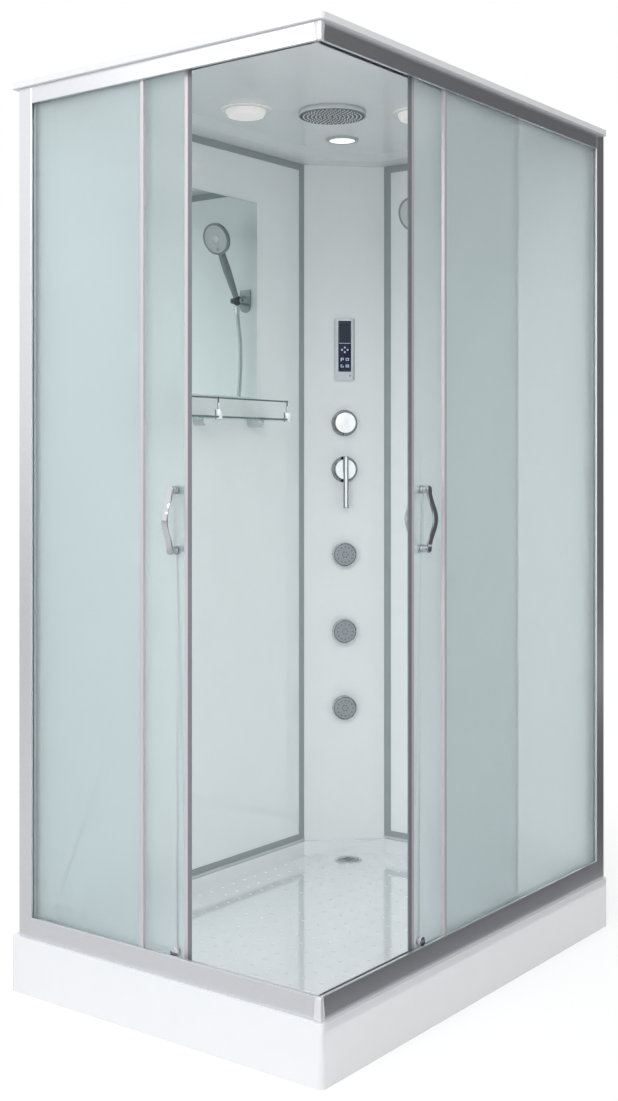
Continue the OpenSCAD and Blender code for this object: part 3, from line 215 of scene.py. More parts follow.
slot_finish("fan_black", (34, 35, 38), 0.4, tint=0.08, bump=0.05)
slot_finish("hose_metal", (206, 209, 212), 0.16, metal=1.0, tint=0.03, rub=0.04)
EDGE_SATIN = finish_of(
    "edge_satin", (208, 204, 208), 0.34, metal=0.35, tint=0.02, stretch=ALONG_Z, cells=200
)
CORNER_BRIGHT = finish_of("corner_bright", (236, 237, 240), 0.2, metal=0.35, tint=0.01, Coat_Weight=0.5)
# Chrome darkened to grey: painted shade that stands in for the dark reflections on the sides of the
# knob, the mixer cap and lever, the jet rims and the rain head's rim.
CHROME_PAINTED_SHADE = finish_of("chrome_painted_shade", (150, 154, 157), 0.1, metal=1.0, tint=0.03, rub=0.03, grain=90)
HAND_GREY = finish_of(
    "hand_grey", (150, 155, 156), 0.3, metal=0.5, tint=0.05, stretch=ALONG_Z, cells=300
)
HOLDER_GREY = finish_of("holder_grey", (172, 179, 179), 0.26, metal=0.5, tint=0.03)
CRADLE_DARK = finish_of("cradle_dark", (58, 61, 66), 0.25, tint=0.08, Coat_Weight=0.5)
COVER_STEEL = finish_of("cover_steel", (178, 182, 184), 0.3, metal=0.7, tint=0.03)
# Warm white of the ceiling covers, with a glow that is painted light: the covers are no lamps.
COVER_PAINTED_GLOW = finish_of("cover_painted_glow", (240, 236, 233), 0.3, tint=0.01, strength=0.3)
JOINT_PALE = finish_of("joint_pale", (206, 211, 212), 0.4, tint=0.02, bump=0.04)
LILAC = finish_of("mark_lilac", (88, 88, 128), 0.3, tint=0.05, strength=0.1)
JET_DOT = finish_of("jet_dot", (104, 109, 116), 0.5, tint=0.05, bump=0.05)
NAV_LIGHT = finish_of("mark_light", (196, 206, 228), 0.3, tint=0.03, strength=0.15)
LCD = finish_of("lcd_glass", (40, 48, 66), 0.06, tint=0.1, IOR=1.5)
NOZZLE = finish_of("nozzle_rubber", (28, 30, 32), 0.5, tint=0.06, bump=0.05)
# White face of the hand shower, with a glow that is painted light.
FACE_WHITE_PAINTED_GLOW = finish_of("face_white_painted_glow", (244, 246, 246), 0.25, tint=0.01, strength=0.12)
TIP_WHITE = finish_of("tip_white", (238, 240, 241), 0.35, tint=0.02)
SIDE_PALE = finish_of("side_pale", (226, 229, 230), 0.25, tint=0.01)
LAMP_GREY = finish_of("lamp_grey", (186, 192, 194), 0.3, tint=0.02)
RAIL_DARK = finish_of("rail_dark", (112, 124, 126), 0.12, metal=1.0, tint=0.03, rub=0.03, grain=90)
# Bright chrome of the shelf posts, with a glow that is a painted highlight.
POST_PAINTED_HIGHLIGHT = finish_of(
    "post_painted_highlight", (246, 248, 249), 0.1, metal=0.5, tint=0.01, Coat_Weight=0.5, strength=0.1
)
EDGE_GREEN = finish_of("edge_green", (96, 118, 118), 0.1, tint=0.05, IOR=1.5)
# Bright faces of the knob, the mixer cap and the lever, with a glow that is a painted highlight.
FACE_PAINTED_HIGHLIGHT = finish_of(
    "face_painted_highlight", (252, 252, 253), 0.12, metal=0.4, tint=0.004, Coat_Weight=0.4, strength=0.25
)
DOT_PALE = finish_of("dot_pale", (246, 248, 250), 0.08, tint=0.01, IOR=1.5)

SLOT_OF = {
    "tray": "acrylic_white",
    "tray_frame": "frame_steel",
    "tray_feet": "dark_steel",
    "drain_trap": "trap_plastic",
    "drain_flange": "chrome",
    "drain_cover": "dark_steel",
    "bottom_rails": "rail_aluminium",
    "top_rails": "rail_aluminium",
    "corner_connectors": "bright_aluminium",
    "wall_posts": "rail_aluminium",
    "fixed_edges": "bright_aluminium",
    "wall_frames": "frame_grey",
    "left_wall_glass": "white_glass",
    "back_wall_glass": "white_glass",
    "column": "column_white",
    "mirror": "mirror",
    "shelf_glass": "clear_glass",
    "control_bezel": "panel_silver",
    "control_screen": "screen_blue",
    "nav_pad": "key_grey",
    "key_upper": "key_grey",
    "key_lower": "key_grey",
    "plumbing": "brass",
    "jet_face_a": "jet_grey",
    "jet_face_b": "jet_grey",
    "jet_face_c": "jet_grey",
    "roof": "roof_white",
    "ceiling_covers": "roof_white",
    "rain_head": "rain_grey",
    "lamp": "lamp_white",
    "fan_housing": "fan_black",
    "fan_rotor": "fan_black",
    "hose": "hose_metal",
}
for side in ("front", "side"):
    SLOT_OF[side + "_fixed_glass"] = SLOT_OF[side + "_door_glass"] = "frosted_glass"
    SLOT_OF[side + "_door_edge"] = "bright_aluminium"
    SLOT_OF[side + "_door_seals"] = "seal_rubber"
    SLOT_OF[side + "_door_handle"] = "chrome"
    SLOT_OF[side + "_door_carriers"] = "bright_aluminium"
    SLOT_OF[side + "_wheel_a"] = SLOT_OF[side + "_wheel_b"] = "nylon"

# Width in millimetres of the rounded edges of the CAD nodes, where they have them
ROUNDED = {
    "tray": 4,
    "roof": 3,
    "bottom_rails": 1.2,
    "top_rails": 1.2,
    "corner_connectors": 3,
    "wall_posts": 1.5,
    "fixed_edges": 0.8,
    "front_door_edge": 0.8,
    "side_door_edge": 0.8,
    "wall_frames": 1.0,
    "mirror": 1.0,
    "shelf_glass": 1.2,
    "shelf_brackets": 1.2,
    "control_bezel": 1.5,
    "front_door_glass": 0.8,
    "side_door_glass": 0.8,
    "front_fixed_glass": 0.8,
    "side_fixed_glass": 0.8,
    "diverter_knob": 1.0,
    "mixer_cap": 1.0,
    "mixer_lever": 1.5,
    "trim_rings": 1.0,
    "holder_base": 1.2,
    "front_door_handle": 0.8,
    "side_door_handle": 0.8,
    "drain_flange": 0.8,
    "lamp": 1.2,
    "rain_head": 1.5,
    "ceiling_covers": 1.0,
    "nav_pad": 0.4,
    "key_upper": 0.5,
    "key_lower": 0.5,
    "outlet_elbow": 1.0,
    "fan_housing": 1.5,
}


def round_edges(piece, width, segments=3, angle=32):
    """Welds the corners of a mesh and rounds its edges, in modifiers only."""
    weld = piece.modifiers.new("weld", "WELD")
    weld.merge_threshold = 0.00001
    bevel = piece.modifiers.new("round", "BEVEL")
    bevel.width = width * MM
    bevel.segments = segments
    bevel.limit_method = "ANGLE"
    bevel.angle_limit = math.radians(angle)
    bevel.harden_normals = False
    bevel.use_clamp_overlap = True


for name, node_object in CAD.items():
    node_object.data.materials.clear()
    node_object.data.materials.append(FINISH[SLOT_OF.get(name, "chrome")])
    if name in ROUNDED:
        round_edges(node_object, ROUNDED[name])
# Among these, the darkened chrome is painted shade.
for names, finish in (
    (("fixed_edges", "front_door_edge", "side_door_edge"), EDGE_SATIN),
    (("corner_connectors",), CORNER_BRIGHT),
    (("trim_rings", "diverter_knob", "mixer_cap", "mixer_lever"), CHROME_PAINTED_SHADE),
    (("handset",), HAND_GREY),
    (("holder_base",), HOLDER_GREY),
    (("holder_cradle",), CRADLE_DARK),
    (("drain_cover",), COVER_STEEL),
    # The ceiling covers glow with painted light.
    (("ceiling_covers",), COVER_PAINTED_GLOW),
    (("shelf_rail",), RAIL_DARK),
):
    for name in names:
        CAD[name].data.materials[0] = finish


# ---------------- mesh helpers


def in_mm(points):
    """Pairs of lengths given in millimetres, in metres."""
    return [(a * MM, b * MM) for a, b in points]


def piece_of(name, mesh, body, slot, material=None, smooth=True):
    """Links a mesh as a piece of the object, riding on a body, with the finish of a slot."""
    if isinstance(mesh, bmesh.types.BMesh):
        data = bpy.data.meshes.new(name)
        bmesh.ops.recalc_face_normals(mesh, faces=mesh.faces)
        mesh.to_mesh(data)
        mesh.free()
        mesh = data
    for polygon in mesh.polygons:
        polygon.use_smooth = smooth
    obj = bpy.data.objects.new(name, mesh)
    bpy.context.scene.collection.objects.link(obj)
    mesh.materials.append(material or FINISH[slot])
    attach(obj, body)
    return obj


def turned(bm, place, profile, sides=24, closed=True):
    """Adds a turned solid: profile gives radius and height, place is its matrix, in metres."""
    rings = []
    for r, h in profile:
        if r <= 0:
            rings.append([bm.verts.new(place @ Vector((0, 0, h)))])
            continue
        turn = [2 * math.pi * k / sides for k in range(sides)]
        loop = [Vector((r * math.cos(a), r * math.sin(a), h)) for a in turn]
        rings.append([bm.verts.new(place @ p) for p in loop])
    for a, b in zip(rings, rings[1:]):
        for k in range(sides):
            j = (k + 1) % sides
            if len(a) == 1 and len(b) == 1:
                continue
            if len(a) == 1:
                bm.faces.new((a[0], b[k], b[j]))
            elif len(b) == 1:
                bm.faces.new((a[k], b[0], a[j]))
            else:
                bm.faces.new((a[k], b[k], b[j], a[j]))
    if closed:
        for ring in (rings[0], rings[-1]):
            if len(ring) > 1:
                bm.faces.new(ring)


def prism(bm, place, outline, low, high):
    """Adds a prism over an outline in the plane of the place matrix."""
    bottom = [bm.verts.new(place @ Vector((x, y, low))) for x, y in outline]
    top = [bm.verts.new(place @ Vector((x, y, high))) for x, y in outline]
    count = len(outline)
    for k in range(count):
        j = (k + 1) % count
        bm.faces.new((bottom[k], bottom[j], top[j], top[k]))
    bm.faces.new(top)
    bm.faces.new(bottom)


def rect(w, h, x=0.0, y=0.0):
    """A rectangle round a point: its sides in millimetres, its middle in metres."""
    corners = ((-1, -1), (1, -1), (1, 1), (-1, 1))
    return [(x + sx * w / 2 * MM, y + sy * h / 2 * MM) for sx, sy in corners]


def smooth_line(points, steps):
    """Catmull-Rom line through the points, as the hose's route in part.scad is drawn."""
    line = []
    last = len(points) - 1
    for i in range(last):
        a, b = points[max(i - 1, 0)], points[i]
        c, d = points[i + 1], points[min(i + 2, last)]
        for k in range(steps):
            t = k / steps
            line.append(
                b
                + (c - a) * (t / 2)
                + (2 * a - 5 * b + 4 * c - d) * (t * t / 2)
                + (3 * b - a - 3 * c + d) * (t * t * t / 2)
            )
    line.append(points[last])
    return line


# ---------------- hose, made first

HOSE_ROUTE = [
    Vector(p) * MM
    for p in (
        (-51, 578, 1754),
        (-51, 578, 1736),
        (-55, 580, 1690),
        (-59, 584, 1630),
        (-58, 585, 1540),
        (-51, 585, 1460),
        (-38, 585, 1396),
        (-25, 585, 1310),
        (-4, 585, 1162),
        (20, 585, 1043),
        (34, 585, 904),
        (48, 585, 810),
        (54, 585, 706),
        (46, 585, 624),
        (18, 585, 572),
        (-24, 585, 555),
        (-62, 585, 573),
        (-85, 585, 618),
        (-88, 585, 676),
        (-82, 585, 750),
        (-68, 585, 820),
        (-54, 585, 856),
        (-51, 585, 870),
        (-51, 585, 884),
    )
]
HOSE_R = 7 * MM
HOSE_END = 14 * MM
hose_line = smooth_line(HOSE_ROUTE, 12)
hose_at = [0.0]
for p, q in zip(hose_line, hose_line[1:]):
    hose_at.append(hose_at[-1] + (q - p).length)
HOSE_LENGTH = hose_at[-1]


def along_hose(s):
    """Point of the hose's middle line at a distance along it."""
    s = min(max(s, 0.0), HOSE_LENGTH)
    for i in range(len(hose_at) - 1):
        if s <= hose_at[i + 1]:
            share = (s - hose_at[i]) / (hose_at[i + 1] - hose_at[i])
            return hose_line[i].lerp(hose_line[i + 1], share)
    return hose_line[-1]


def tube(bm, stations, sides=16):
    """Adds a tube through stations of (distance along the hose, radius), with flat ends."""
    rings = []
    for s, r in stations:
        centre = along_hose(s)
        ahead = along_hose(s + MM) - along_hose(s - MM)
        if s < HOSE_END:
            ahead = Vector((0, 0, -1))
        elif s > HOSE_LENGTH - HOSE_END:
            ahead = Vector((0, 0, 1))
        ahead.normalize()
        across = Vector((0, 1, 0)).cross(ahead).normalized()
        up = ahead.cross(across)
        turn = [2 * math.pi * k / sides for k in range(sides)]
        loop = [centre + r * (math.cos(a) * across + math.sin(a) * up) for a in turn]
        rings.append([bm.verts.new(p) for p in loop])
    for a, b in zip(rings, rings[1:]):
        for k in range(sides):
            j = (k + 1) % sides
            bm.faces.new((a[k], a[j], b[j], b[k]))
    bm.faces.new(rings[0])
    bm.faces.new(rings[-1])


HOSE_PITCH = 7.2 * MM
ribs = int((HOSE_LENGTH - 2 * HOSE_END) / HOSE_PITCH)
pitch = (HOSE_LENGTH - 2 * HOSE_END) / ribs
stations = [(0.0, HOSE_R * 0.96), (HOSE_END, HOSE_R * 0.96)]
for k in range(ribs):
    start = HOSE_END + k * pitch
    for share, r in ((0.06, 0.74), (0.22, 0.8), (0.36, 0.97), (0.6, 1.0), (0.84, 0.97)):
        stations.append((start + share * pitch, HOSE_R * r))
stations += [(HOSE_LENGTH - HOSE_END, HOSE_R * 0.96), (HOSE_LENGTH, HOSE_R * 0.96)]
hose_mesh = bmesh.new()
tube(hose_mesh, stations)
hose = piece_of("hose_spiral", hose_mesh, "root", "hose_metal")
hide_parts("hose")

nuts_mesh = bmesh.new()
top_place = Matrix.Translation(HOSE_ROUTE[0]) @ DOWN
turned(
    nuts_mesh,
    top_place,
    in_mm(((6, 0.2), (8.6, 0.2), (9, 0.7), (9, 7), (8.4, 9), (7.6, 26), (7.2, 28), (6, 28))),
)
low_place = Matrix.Translation(HOSE_ROUTE[-1]) @ DOWN
nut_profile = [(6, 0.2), (9.2, 0.2), (9.8, 0.8)]
for k in range(5):
    nut_profile += [(r, h + 2.2 * k) for r, h in ((9.8, 1.6), (9.3, 2.0), (9.3, 2.6), (9.8, 3.0))]
nut_profile += [(9.8, 13), (9.2, 13.8), (7.6, 14.4), (7.2, 20), (6, 20)]
turned(nuts_mesh, low_place, in_mm(nut_profile))
hose_nuts = piece_of("hose_nuts", nuts_mesh, "root", "chrome")
round_edges(hose_nuts, 0.2, 1, 50)


# ---------------- tray: anti-slip dots

WALL_X = -0.421
WALL_Y = 0.620
BASIN_RIGHT = 0.409
BASIN_FRONT = -0.600
BASIN_BACK = 0.616
FLOOR_Z = 0.090
COLUMN_LEG = 0.170
COLUMN_AT = Vector((-0.336, 0.535, 0))
DRAIN = COLUMN_AT + Vector((0.075, -0.075, 0)) / math.sqrt(2)


def in_basin(x, y, margin):
    """Whether a spot of the basin floor is that far from the basin's walls."""
    diagonal = WALL_Y - COLUMN_LEG - WALL_X - 0.006 * math.sqrt(2) - margin * math.sqrt(2)
    within_x = WALL_X + 0.004 + margin < x < BASIN_RIGHT - margin
    within_y = BASIN_FRONT + margin < y < BASIN_BACK - margin
    return within_x and within_y and y - x < diagonal


DOT_ORIGIN = (-0.399, -0.042)
DOT_PITCH = (0.0498, 0.0466)
dots = bmesh.new()
for i in range(-20, 21):
    for j in range(-14, 15):
        x, y = DOT_ORIGIN[0] + DOT_PITCH[0] * i, DOT_ORIGIN[1] + DOT_PITCH[1] * j
        if in_basin(x, y, 0.016) and (Vector((x, y, 0)) - DRAIN).length > 0.055:
            dome = [(4.5, 0), (4.2, 0.5), (3.2, 0.95), (1.8, 1.15), (0, 1.2)]
            place = Matrix.Translation((x, y, FLOOR_Z - 0.0001))
            turned(dots, place, in_mm(dome), sides=12)
piece_of("anti_slip_dots", dots, "root", "acrylic_white", DOT_PALE)


# ---------------- roof fittings

RAIN_AT = Vector((0.006, 0.006, 2.131))
RAIN_RINGS = 7
RAIN_PITCH = 0.0105
nozzles = bmesh.new()
for ring in range(1, RAIN_RINGS + 1):
    count = 6 * ring
    for k in range(count):
        angle = 2 * math.pi * (k + 0.5 * (ring % 2)) / count
        spot = RAIN_AT + Vector((math.cos(angle), math.sin(angle), 0)) * (RAIN_PITCH * ring)
        place = Matrix.Translation(spot) @ DOWN
        tip = [(2.3, -0.2), (2.2, 1.2), (1.7, 2.4), (1.1, 2.7), (0, 2.7)]
        turned(nozzles, place, in_mm(tip), sides=8)
piece_of("rain_nozzles", nozzles, "root", "rain_grey", TIP_WHITE)
rain_rim = bmesh.new()
turned(
    rain_rim,
    Matrix.Translation(RAIN_AT) @ DOWN,
    in_mm(((81.5, -0.4), (81.5, 0.6), (82.2, 1.2), (83.8, 1.2), (84.8, 0.6), (84.8, -0.4))),
    sides=96,
    closed=False,
)
# The rain head's rim takes the darkened chrome, which is painted shade.
piece_of("rain_rim", rain_rim, "root", "rain_grey", CHROME_PAINTED_SHADE)
rain_side = bmesh.new()
turned(
    rain_side,
    Matrix.Translation(RAIN_AT) @ DOWN,
    in_mm(((84.6, -0.2), (85.2, -0.6), (85.3, -1.2), (85.3, -12.8), (84.6, -12.8))),
    sides=96,
    closed=False,
)
piece_of("rain_side", rain_side, "root", "roof_white", SIDE_PALE)
LAMP_AT = (-0.155, 0.273, 2.139)
lamp_ring = bmesh.new()
turned(
    lamp_ring,
    Matrix.Translation(LAMP_AT) @ DOWN,
    in_mm(((34.6, -0.4), (34.6, 0.8), (35.4, 1.2), (43.2, 1.0), (44.4, 0.4), (44.4, -4.9))),
    sides=96,
    closed=False,
)
piece_of("lamp_ring", lamp_ring, "root", "roof_white", LAMP_GREY)
COVER_SPOTS = ((-0.158, -0.140), (0.170, 0.152))
COVER_RING_Z = 2.1412
cover_rings = bmesh.new()
for x, y in COVER_SPOTS:
    turned(
        cover_rings,
        Matrix.Translation((x, y, COVER_RING_Z)) @ DOWN,
        in_mm(((50.5, -0.2), (50.5, 0.4), (51.0, 0.6), (63.8, 0.6), (64.4, 0.4), (64.4, -0.2))),
        sides=96,
        closed=False,
    )
piece_of("cover_rings", cover_rings, "root", "roof_white")

# ---------------- hand shower face

PIVOT = Vector((-0.051, 0.578, 1.770))
head_place = (
    Matrix.Translation(PIVOT)
    @ Matrix.Rotation(math.radians(28.5), 4, "X")
    @ Matrix.Translation((0, 0, 0.210))
    @ Matrix.Rotation(math.radians(90 - 8.6), 4, "X")
    @ Matrix.Translation((0, 0, 0.005))
)
face = bmesh.new()
turned(
    face,
    head_place,
    in_mm(((16, -0.5), (16, 0.35), (17, 0.6), (41, 0.6), (42.5, 0.3), (42.5, -0.5))),
    sides=64,
    closed=False,
)
# The hand shower's face glows with painted light.
piece_of("handset_face", face, "hand_shower", "chrome", FACE_WHITE_PAINTED_GLOW)
hub = bmesh.new()
turned(hub, head_place, in_mm(((14, -0.5), (14, 0.4), (12, 1.0), (0, 1.3))), sides=48)
piece_of("handset_hub", hub, "hand_shower", "panel_silver")
nubs = bmesh.new()
for ring, (radius, count) in enumerate(((20.5, 20), (26.5, 26), (32.5, 32), (38, 38))):
    for k in range(count):
        angle = 2 * math.pi * (k + 0.5 * (ring % 2)) / count
        place = (
            head_place
            @ Matrix.Rotation(angle, 4, "Z")
            @ Matrix.Translation((radius * MM, 0, 0.0004))
            @ Matrix.Diagonal((2.0, 1.3, 1, 1))
        )
        tip = [(1.25, 0), (1.2, 0.9), (0.8, 1.3), (0, 1.35)]
        turned(nubs, place, in_mm(tip), sides=8)
piece_of("handset_nozzles", nubs, "hand_shower", "seal_rubber", NOZZLE)


# ---------------- shelf: posts with a painted highlight glow, green front edge

POST_X, POST_Y, POST_STEP = WALL_X + 0.080, -0.031, 0.298
rail_heights = [v.co.z for v in CAD["shelf_rail"].data.vertices]
foot_z = min(rail_heights)
posts = bmesh.new()
for k in (-1, 0, 1):
    line = [(8.7, 0.4), (8.95, 0.8), (8.95, 25.6), (8.5, 26.2)]
    line += [(3.0, 26.4), (2.4, 26.6), (2.4, 43.0), (2.2, 43.4)]
    at = Matrix.Translation((POST_X, POST_Y + k * POST_STEP, foot_z))
    turned(posts, at, in_mm(line), sides=32, closed=False)
# The shelf posts glow with a painted highlight.
piece_of("shelf_posts", posts, "root", "chrome", POST_PAINTED_HIGHLIGHT)
shelf_edge = bmesh.new()
shelf_front = Matrix.Translation((WALL_X + 0.086, POST_Y, foot_z + 0.006))
shelf_face = shelf_front @ Matrix.Rotation(math.pi / 2, 4, "Y")
for k in (-0.5, 0.5):
    prism(shelf_edge, shelf_face, rect(4.4, 282, 0, k * POST_STEP), -0.0002, 0.0002)
piece_of("shelf_edge", shelf_edge, "root", "clear_glass", EDGE_GREEN, smooth=False)


# ---------------- control panel

ALONG = Vector((1, 1, 0)) / math.sqrt(2)
OUT = Vector((1, -1, 0)) / math.sqrt(2)


def on_column(u, w, z):
    """Matrix on the column's face: x along it, y up, z out of it. u, w in millimetres, z in metres."""
    spot = COLUMN_AT + ALONG * (u * MM) + OUT * (w * MM) + Vector((0, 0, z))
    return Matrix(
        (
            (ALONG.x, 0, OUT.x, spot.x),
            (ALONG.y, 0, OUT.y, spot.y),
            (0, 1, 0, spot.z),
            (0, 0, 0, 1),
        )
    )


def ring_of(r, sides=20):
    turns = [2 * math.pi * k / sides for k in range(sides)]
    return [(r * math.cos(a), r * math.sin(a)) for a in turns]


PANEL_Z = 1.497
WINDOW_Z = PANEL_Z + 0.141
KEY_HALF = 7.7
lcd = bmesh.new()
prism(lcd, on_column(0, 7.9, WINDOW_Z), rect(31, 59), -0.0003, 0.0002)
piece_of("lcd_window", lcd, "root", "screen_blue", LCD, smooth=False)
marks = bmesh.new()
window = on_column(0, 8.5, WINDOW_Z)
for w, h, x, y in ((34, 0.9, 0, 30.6), (0.9, 60.3, 16.6, 0), (0.9, 60.3, -16.6, 0)):
    prism(marks, window, rect(w, h, x * MM, y * MM), -0.0002, 0.0002)
piece_of("window_frame", marks, "root", "key_grey", LILAC, smooth=False)
foot_mark = bmesh.new()
prism(foot_mark, window, rect(34, 1.3, 0, -30.6 * MM), -0.0002, 0.0002)
piece_of("window_foot", foot_mark, "root", "key_grey", NAV_LIGHT, smooth=False)


def reach_of(node):
    """How far a node stands out of the column's face, in millimetres."""
    return max((v.co - COLUMN_AT).dot(OUT) for v in CAD[node].data.vertices) / MM


pad_marks = bmesh.new()
for k in range(4):
    x, y = 8.4 * math.cos(k * math.pi / 2), 6.8 * math.sin(k * math.pi / 2)
    outline = [(px + x * MM, py + y * MM) for px, py in ring_of(2.8 * MM, 16)]
    prism(pad_marks, on_column(0, reach_of("nav_pad"), PANEL_Z + 0.091), outline, -0.0002, 0.0001)
piece_of("nav_marks", pad_marks, "nav_pad", "key_grey", NAV_LIGHT, smooth=False)

SIGNS = {
    "flag": ((9.0, 2.2, 0, 3.0), (9.0, 1.6, 0, -1.4), (2.6, 7.6, -3.2, -1.6), (2.2, 5.0, 3.4, 0.6)),
    "frame": ((9.6, 1.8, 0, 3.0), (9.6, 1.8, 0, -3.0), (2.0, 7.0, 3.8, 0), (2.0, 7.0, -3.8, 0)),
    "notch": ((5.0, 1.8, -2.2, 3.0), (8.6, 1.8, 0, -3.0), (2.0, 7.0, -3.6, 0), (2.0, 4.0, 3.6, -1.6)),
    "tile": (
        (9.6, 1.8, 0, 3.0),
        (9.6, 1.8, 0, -3.0),
        (2.0, 7.0, 3.8, 0),
        (2.0, 7.0, -3.8, 0),
        (4.0, 1.4, 0, 0),
    ),
}
KEYS = (("key_upper", 0.063, ("flag", "frame")), ("key_lower", 0.043, ("notch", "tile")))
for body, up, kinds in KEYS:
    signs = bmesh.new()
    for u, kind in zip((-KEY_HALF, KEY_HALF), kinds):
        key_face = on_column(u, reach_of(body), PANEL_Z + up)
        for w, h, x, y in SIGNS[kind]:
            prism(signs, key_face, rect(w, h, x * MM, y * MM), -0.0002, 0.0001)
    piece_of(body + "_signs", signs, body, "key_grey", NAV_LIGHT, smooth=False)
eye = bmesh.new()
turned(eye, on_column(16, 9, PANEL_Z + 0.014), in_mm(((2.4, -0.2), (2.4, 0.2), (2.0, 0.4), (0, 0.4))))
piece_of("panel_eye", eye, "root", "screen_blue")


# ---------------- body jets: bright lips and dark nozzles

JETS = (("a", 0.980), ("b", 0.752), ("c", 0.525))
LIP_OUT = 16.6
LIP_R = 34.4
for letter, z in JETS:
    lip = bmesh.new()
    section = [2 * math.pi * k / 12 for k in range(13)]
    round_lip = [((LIP_R + 1.5 * math.cos(a)) * MM, 1.4 * math.sin(a) * MM) for a in section]
    turned(lip, on_column(0, LIP_OUT, z), round_lip, 64, False)
    bmesh.ops.remove_doubles(lip, verts=lip.verts, dist=0.00001)
    piece_of(f"jet_lip_{letter}", lip, "root", "chrome")
    nozzle_dots = bmesh.new()
    reach = reach_of("jet_face_" + letter)
    for radius, count in ((8, 6), (23, 12)):
        for k in range(count):
            turn = 2 * math.pi * k / count
            spot = on_column(radius * math.cos(turn), reach, z + radius * math.sin(turn) * MM)
            turned(nozzle_dots, spot, in_mm(((2.3, -0.2), (2.2, 0.3), (1.4, 0.7), (0, 0.8))), 12)
    piece_of(f"jet_nozzles_{letter}", nozzle_dots, "jet_face_" + letter, "jet_grey", JET_DOT)


# ---------------- polished faces of the knob and the mixer cap, and a strip on the lever, bright with a painted highlight glow

TAP_FACE = 25.3
TAP_R = 29.8
KNOB_Z = 1.371
CAP_GAP = 15.4
MIXER_Z = 1.233
knob_face = bmesh.new()
turned(
    knob_face,
    on_column(0, TAP_FACE, KNOB_Z),
    in_mm(((TAP_R, -0.3), (TAP_R, 0.1), (TAP_R - 0.4, 0.3), (0, 0.3))),
    sides=64,
)
# The knob's face glows with a painted highlight.
piece_of("knob_face", knob_face, "diverter_knob", "chrome", FACE_PAINTED_HIGHLIGHT)
cap_line = []
for k in range(61):
    turn = math.radians(90 - CAP_GAP - k * (360 - 2 * CAP_GAP) / 60)
    cap_line.append((TAP_R * MM * math.cos(turn), TAP_R * MM * math.sin(turn)))
cap_line += [(-7.9 * MM, -9.2 * MM), (7.9 * MM, -9.2 * MM)]
cap_face = bmesh.new()
prism(cap_face, on_column(0, TAP_FACE, MIXER_Z), cap_line, -0.0003, 0.0003)
piece_of("cap_face", cap_face, "mixer_cap", "chrome", FACE_PAINTED_HIGHLIGHT, smooth=False)
lever_painted_highlight = bmesh.new()
strip = in_mm(((-3, -112), (0, -113), (3, -112), (3, 37), (0, 38), (-3, 37)))
prism(lever_painted_highlight, on_column(0, reach_of("mixer_lever"), MIXER_Z), strip, -0.0003, 0.0002)
# The lever's strip glows with a painted highlight.
piece_of("lever_painted_highlight", lever_painted_highlight, "mixer_lever", "chrome", FACE_PAINTED_HIGHLIGHT, smooth=False)

# ---------------- wheels: domed caps on the door wheels

DOOR_TIPS = (("front", 0.3741), ("side", 0.366))
WHEELS = (("a", 0.048), ("b", 0.4299))
OUTER = Vector((0.459, -0.650, 0.1833))
WHEEL_IN = 0.0275
for side, tip in DOOR_TIPS:
    for letter, near in WHEELS:
        cap = bmesh.new()
        along = tip + near
        if side == "front":
            spot, turn = OUTER + Vector((-along, WHEEL_IN, 0)), Matrix.Rotation(math.pi / 2, 4, "X")
        else:
            spot, turn = OUTER + Vector((-WHEEL_IN, along, 0)), Matrix.Rotation(math.pi / 2, 4, "Y")
        place = Matrix.Translation(spot) @ turn
        dome = [(10.6, -0.8), (10.6, 0.15), (10.0, 0.4), (8.0, 0.62), (5.0, 0.75), (0, 0.8)]
        turned(cap, place, in_mm(dome), sides=32)
        piece_of(f"{side}_wheel_cap_{letter}", cap, f"{side}_wheel_{letter}", "nylon", FINISH["chrome"])


# ---------------- corner caps and the sealing bead of the walls

CORNER = (0.449, -0.640)


def corner_cap(low, high, wide_end):
    """A thin bright shell round a corner connector, with ears that narrow from its wide end."""
    bm = bmesh.new()
    rings = []
    for k in range(13):
        z = low + (high - low) * k / 12
        away = (k / 12 if wide_end == "low" else 1 - k / 12) ** 1.7
        left, right = 17 - 4 * away, 13 - 6.5 * away
        loop = []
        for reach, step in ((0.7, 1), (-0.4, -1)):
            r = 3 + reach
            arc = [math.pi / 2 * i / 6 for i in range(7)]
            line = [(-left, -reach)]
            line += [(-3 + r * math.sin(a), 3 - r * math.cos(a)) for a in arc]
            line += [(reach, right)]
            loop += line[::step]
        rings.append([bm.verts.new((CORNER[0] + x * MM, CORNER[1] + y * MM, z)) for x, y in loop])
    count = len(rings[0])
    for a, b in zip(rings, rings[1:]):
        for k in range(count):
            j = (k + 1) % count
            bm.faces.new((a[k], a[j], b[j], b[k]))
    half = count // 2
    for ring in (rings[0], rings[-1]):
        for k in range(half - 1):
            bm.faces.new((ring[k], ring[k + 1], ring[count - 2 - k], ring[count - 1 - k]))
    return bm


corner_heights = [v.co.z for v in CAD["corner_connectors"].data.vertices]
low_heights = [z for z in corner_heights if z < 1]
high_heights = [z for z in corner_heights if z > 1]
for wide_end, heights in (("low", low_heights), ("high", high_heights)):
    shell = corner_cap(min(heights) + 0.0005, max(heights) - 0.0005, wide_end)
    cap_piece = piece_of("corner_cap_" + wide_end, shell, "root", "bright_aluminium", CORNER_BRIGHT)
    round_edges(cap_piece, 0.15, 1, 60)

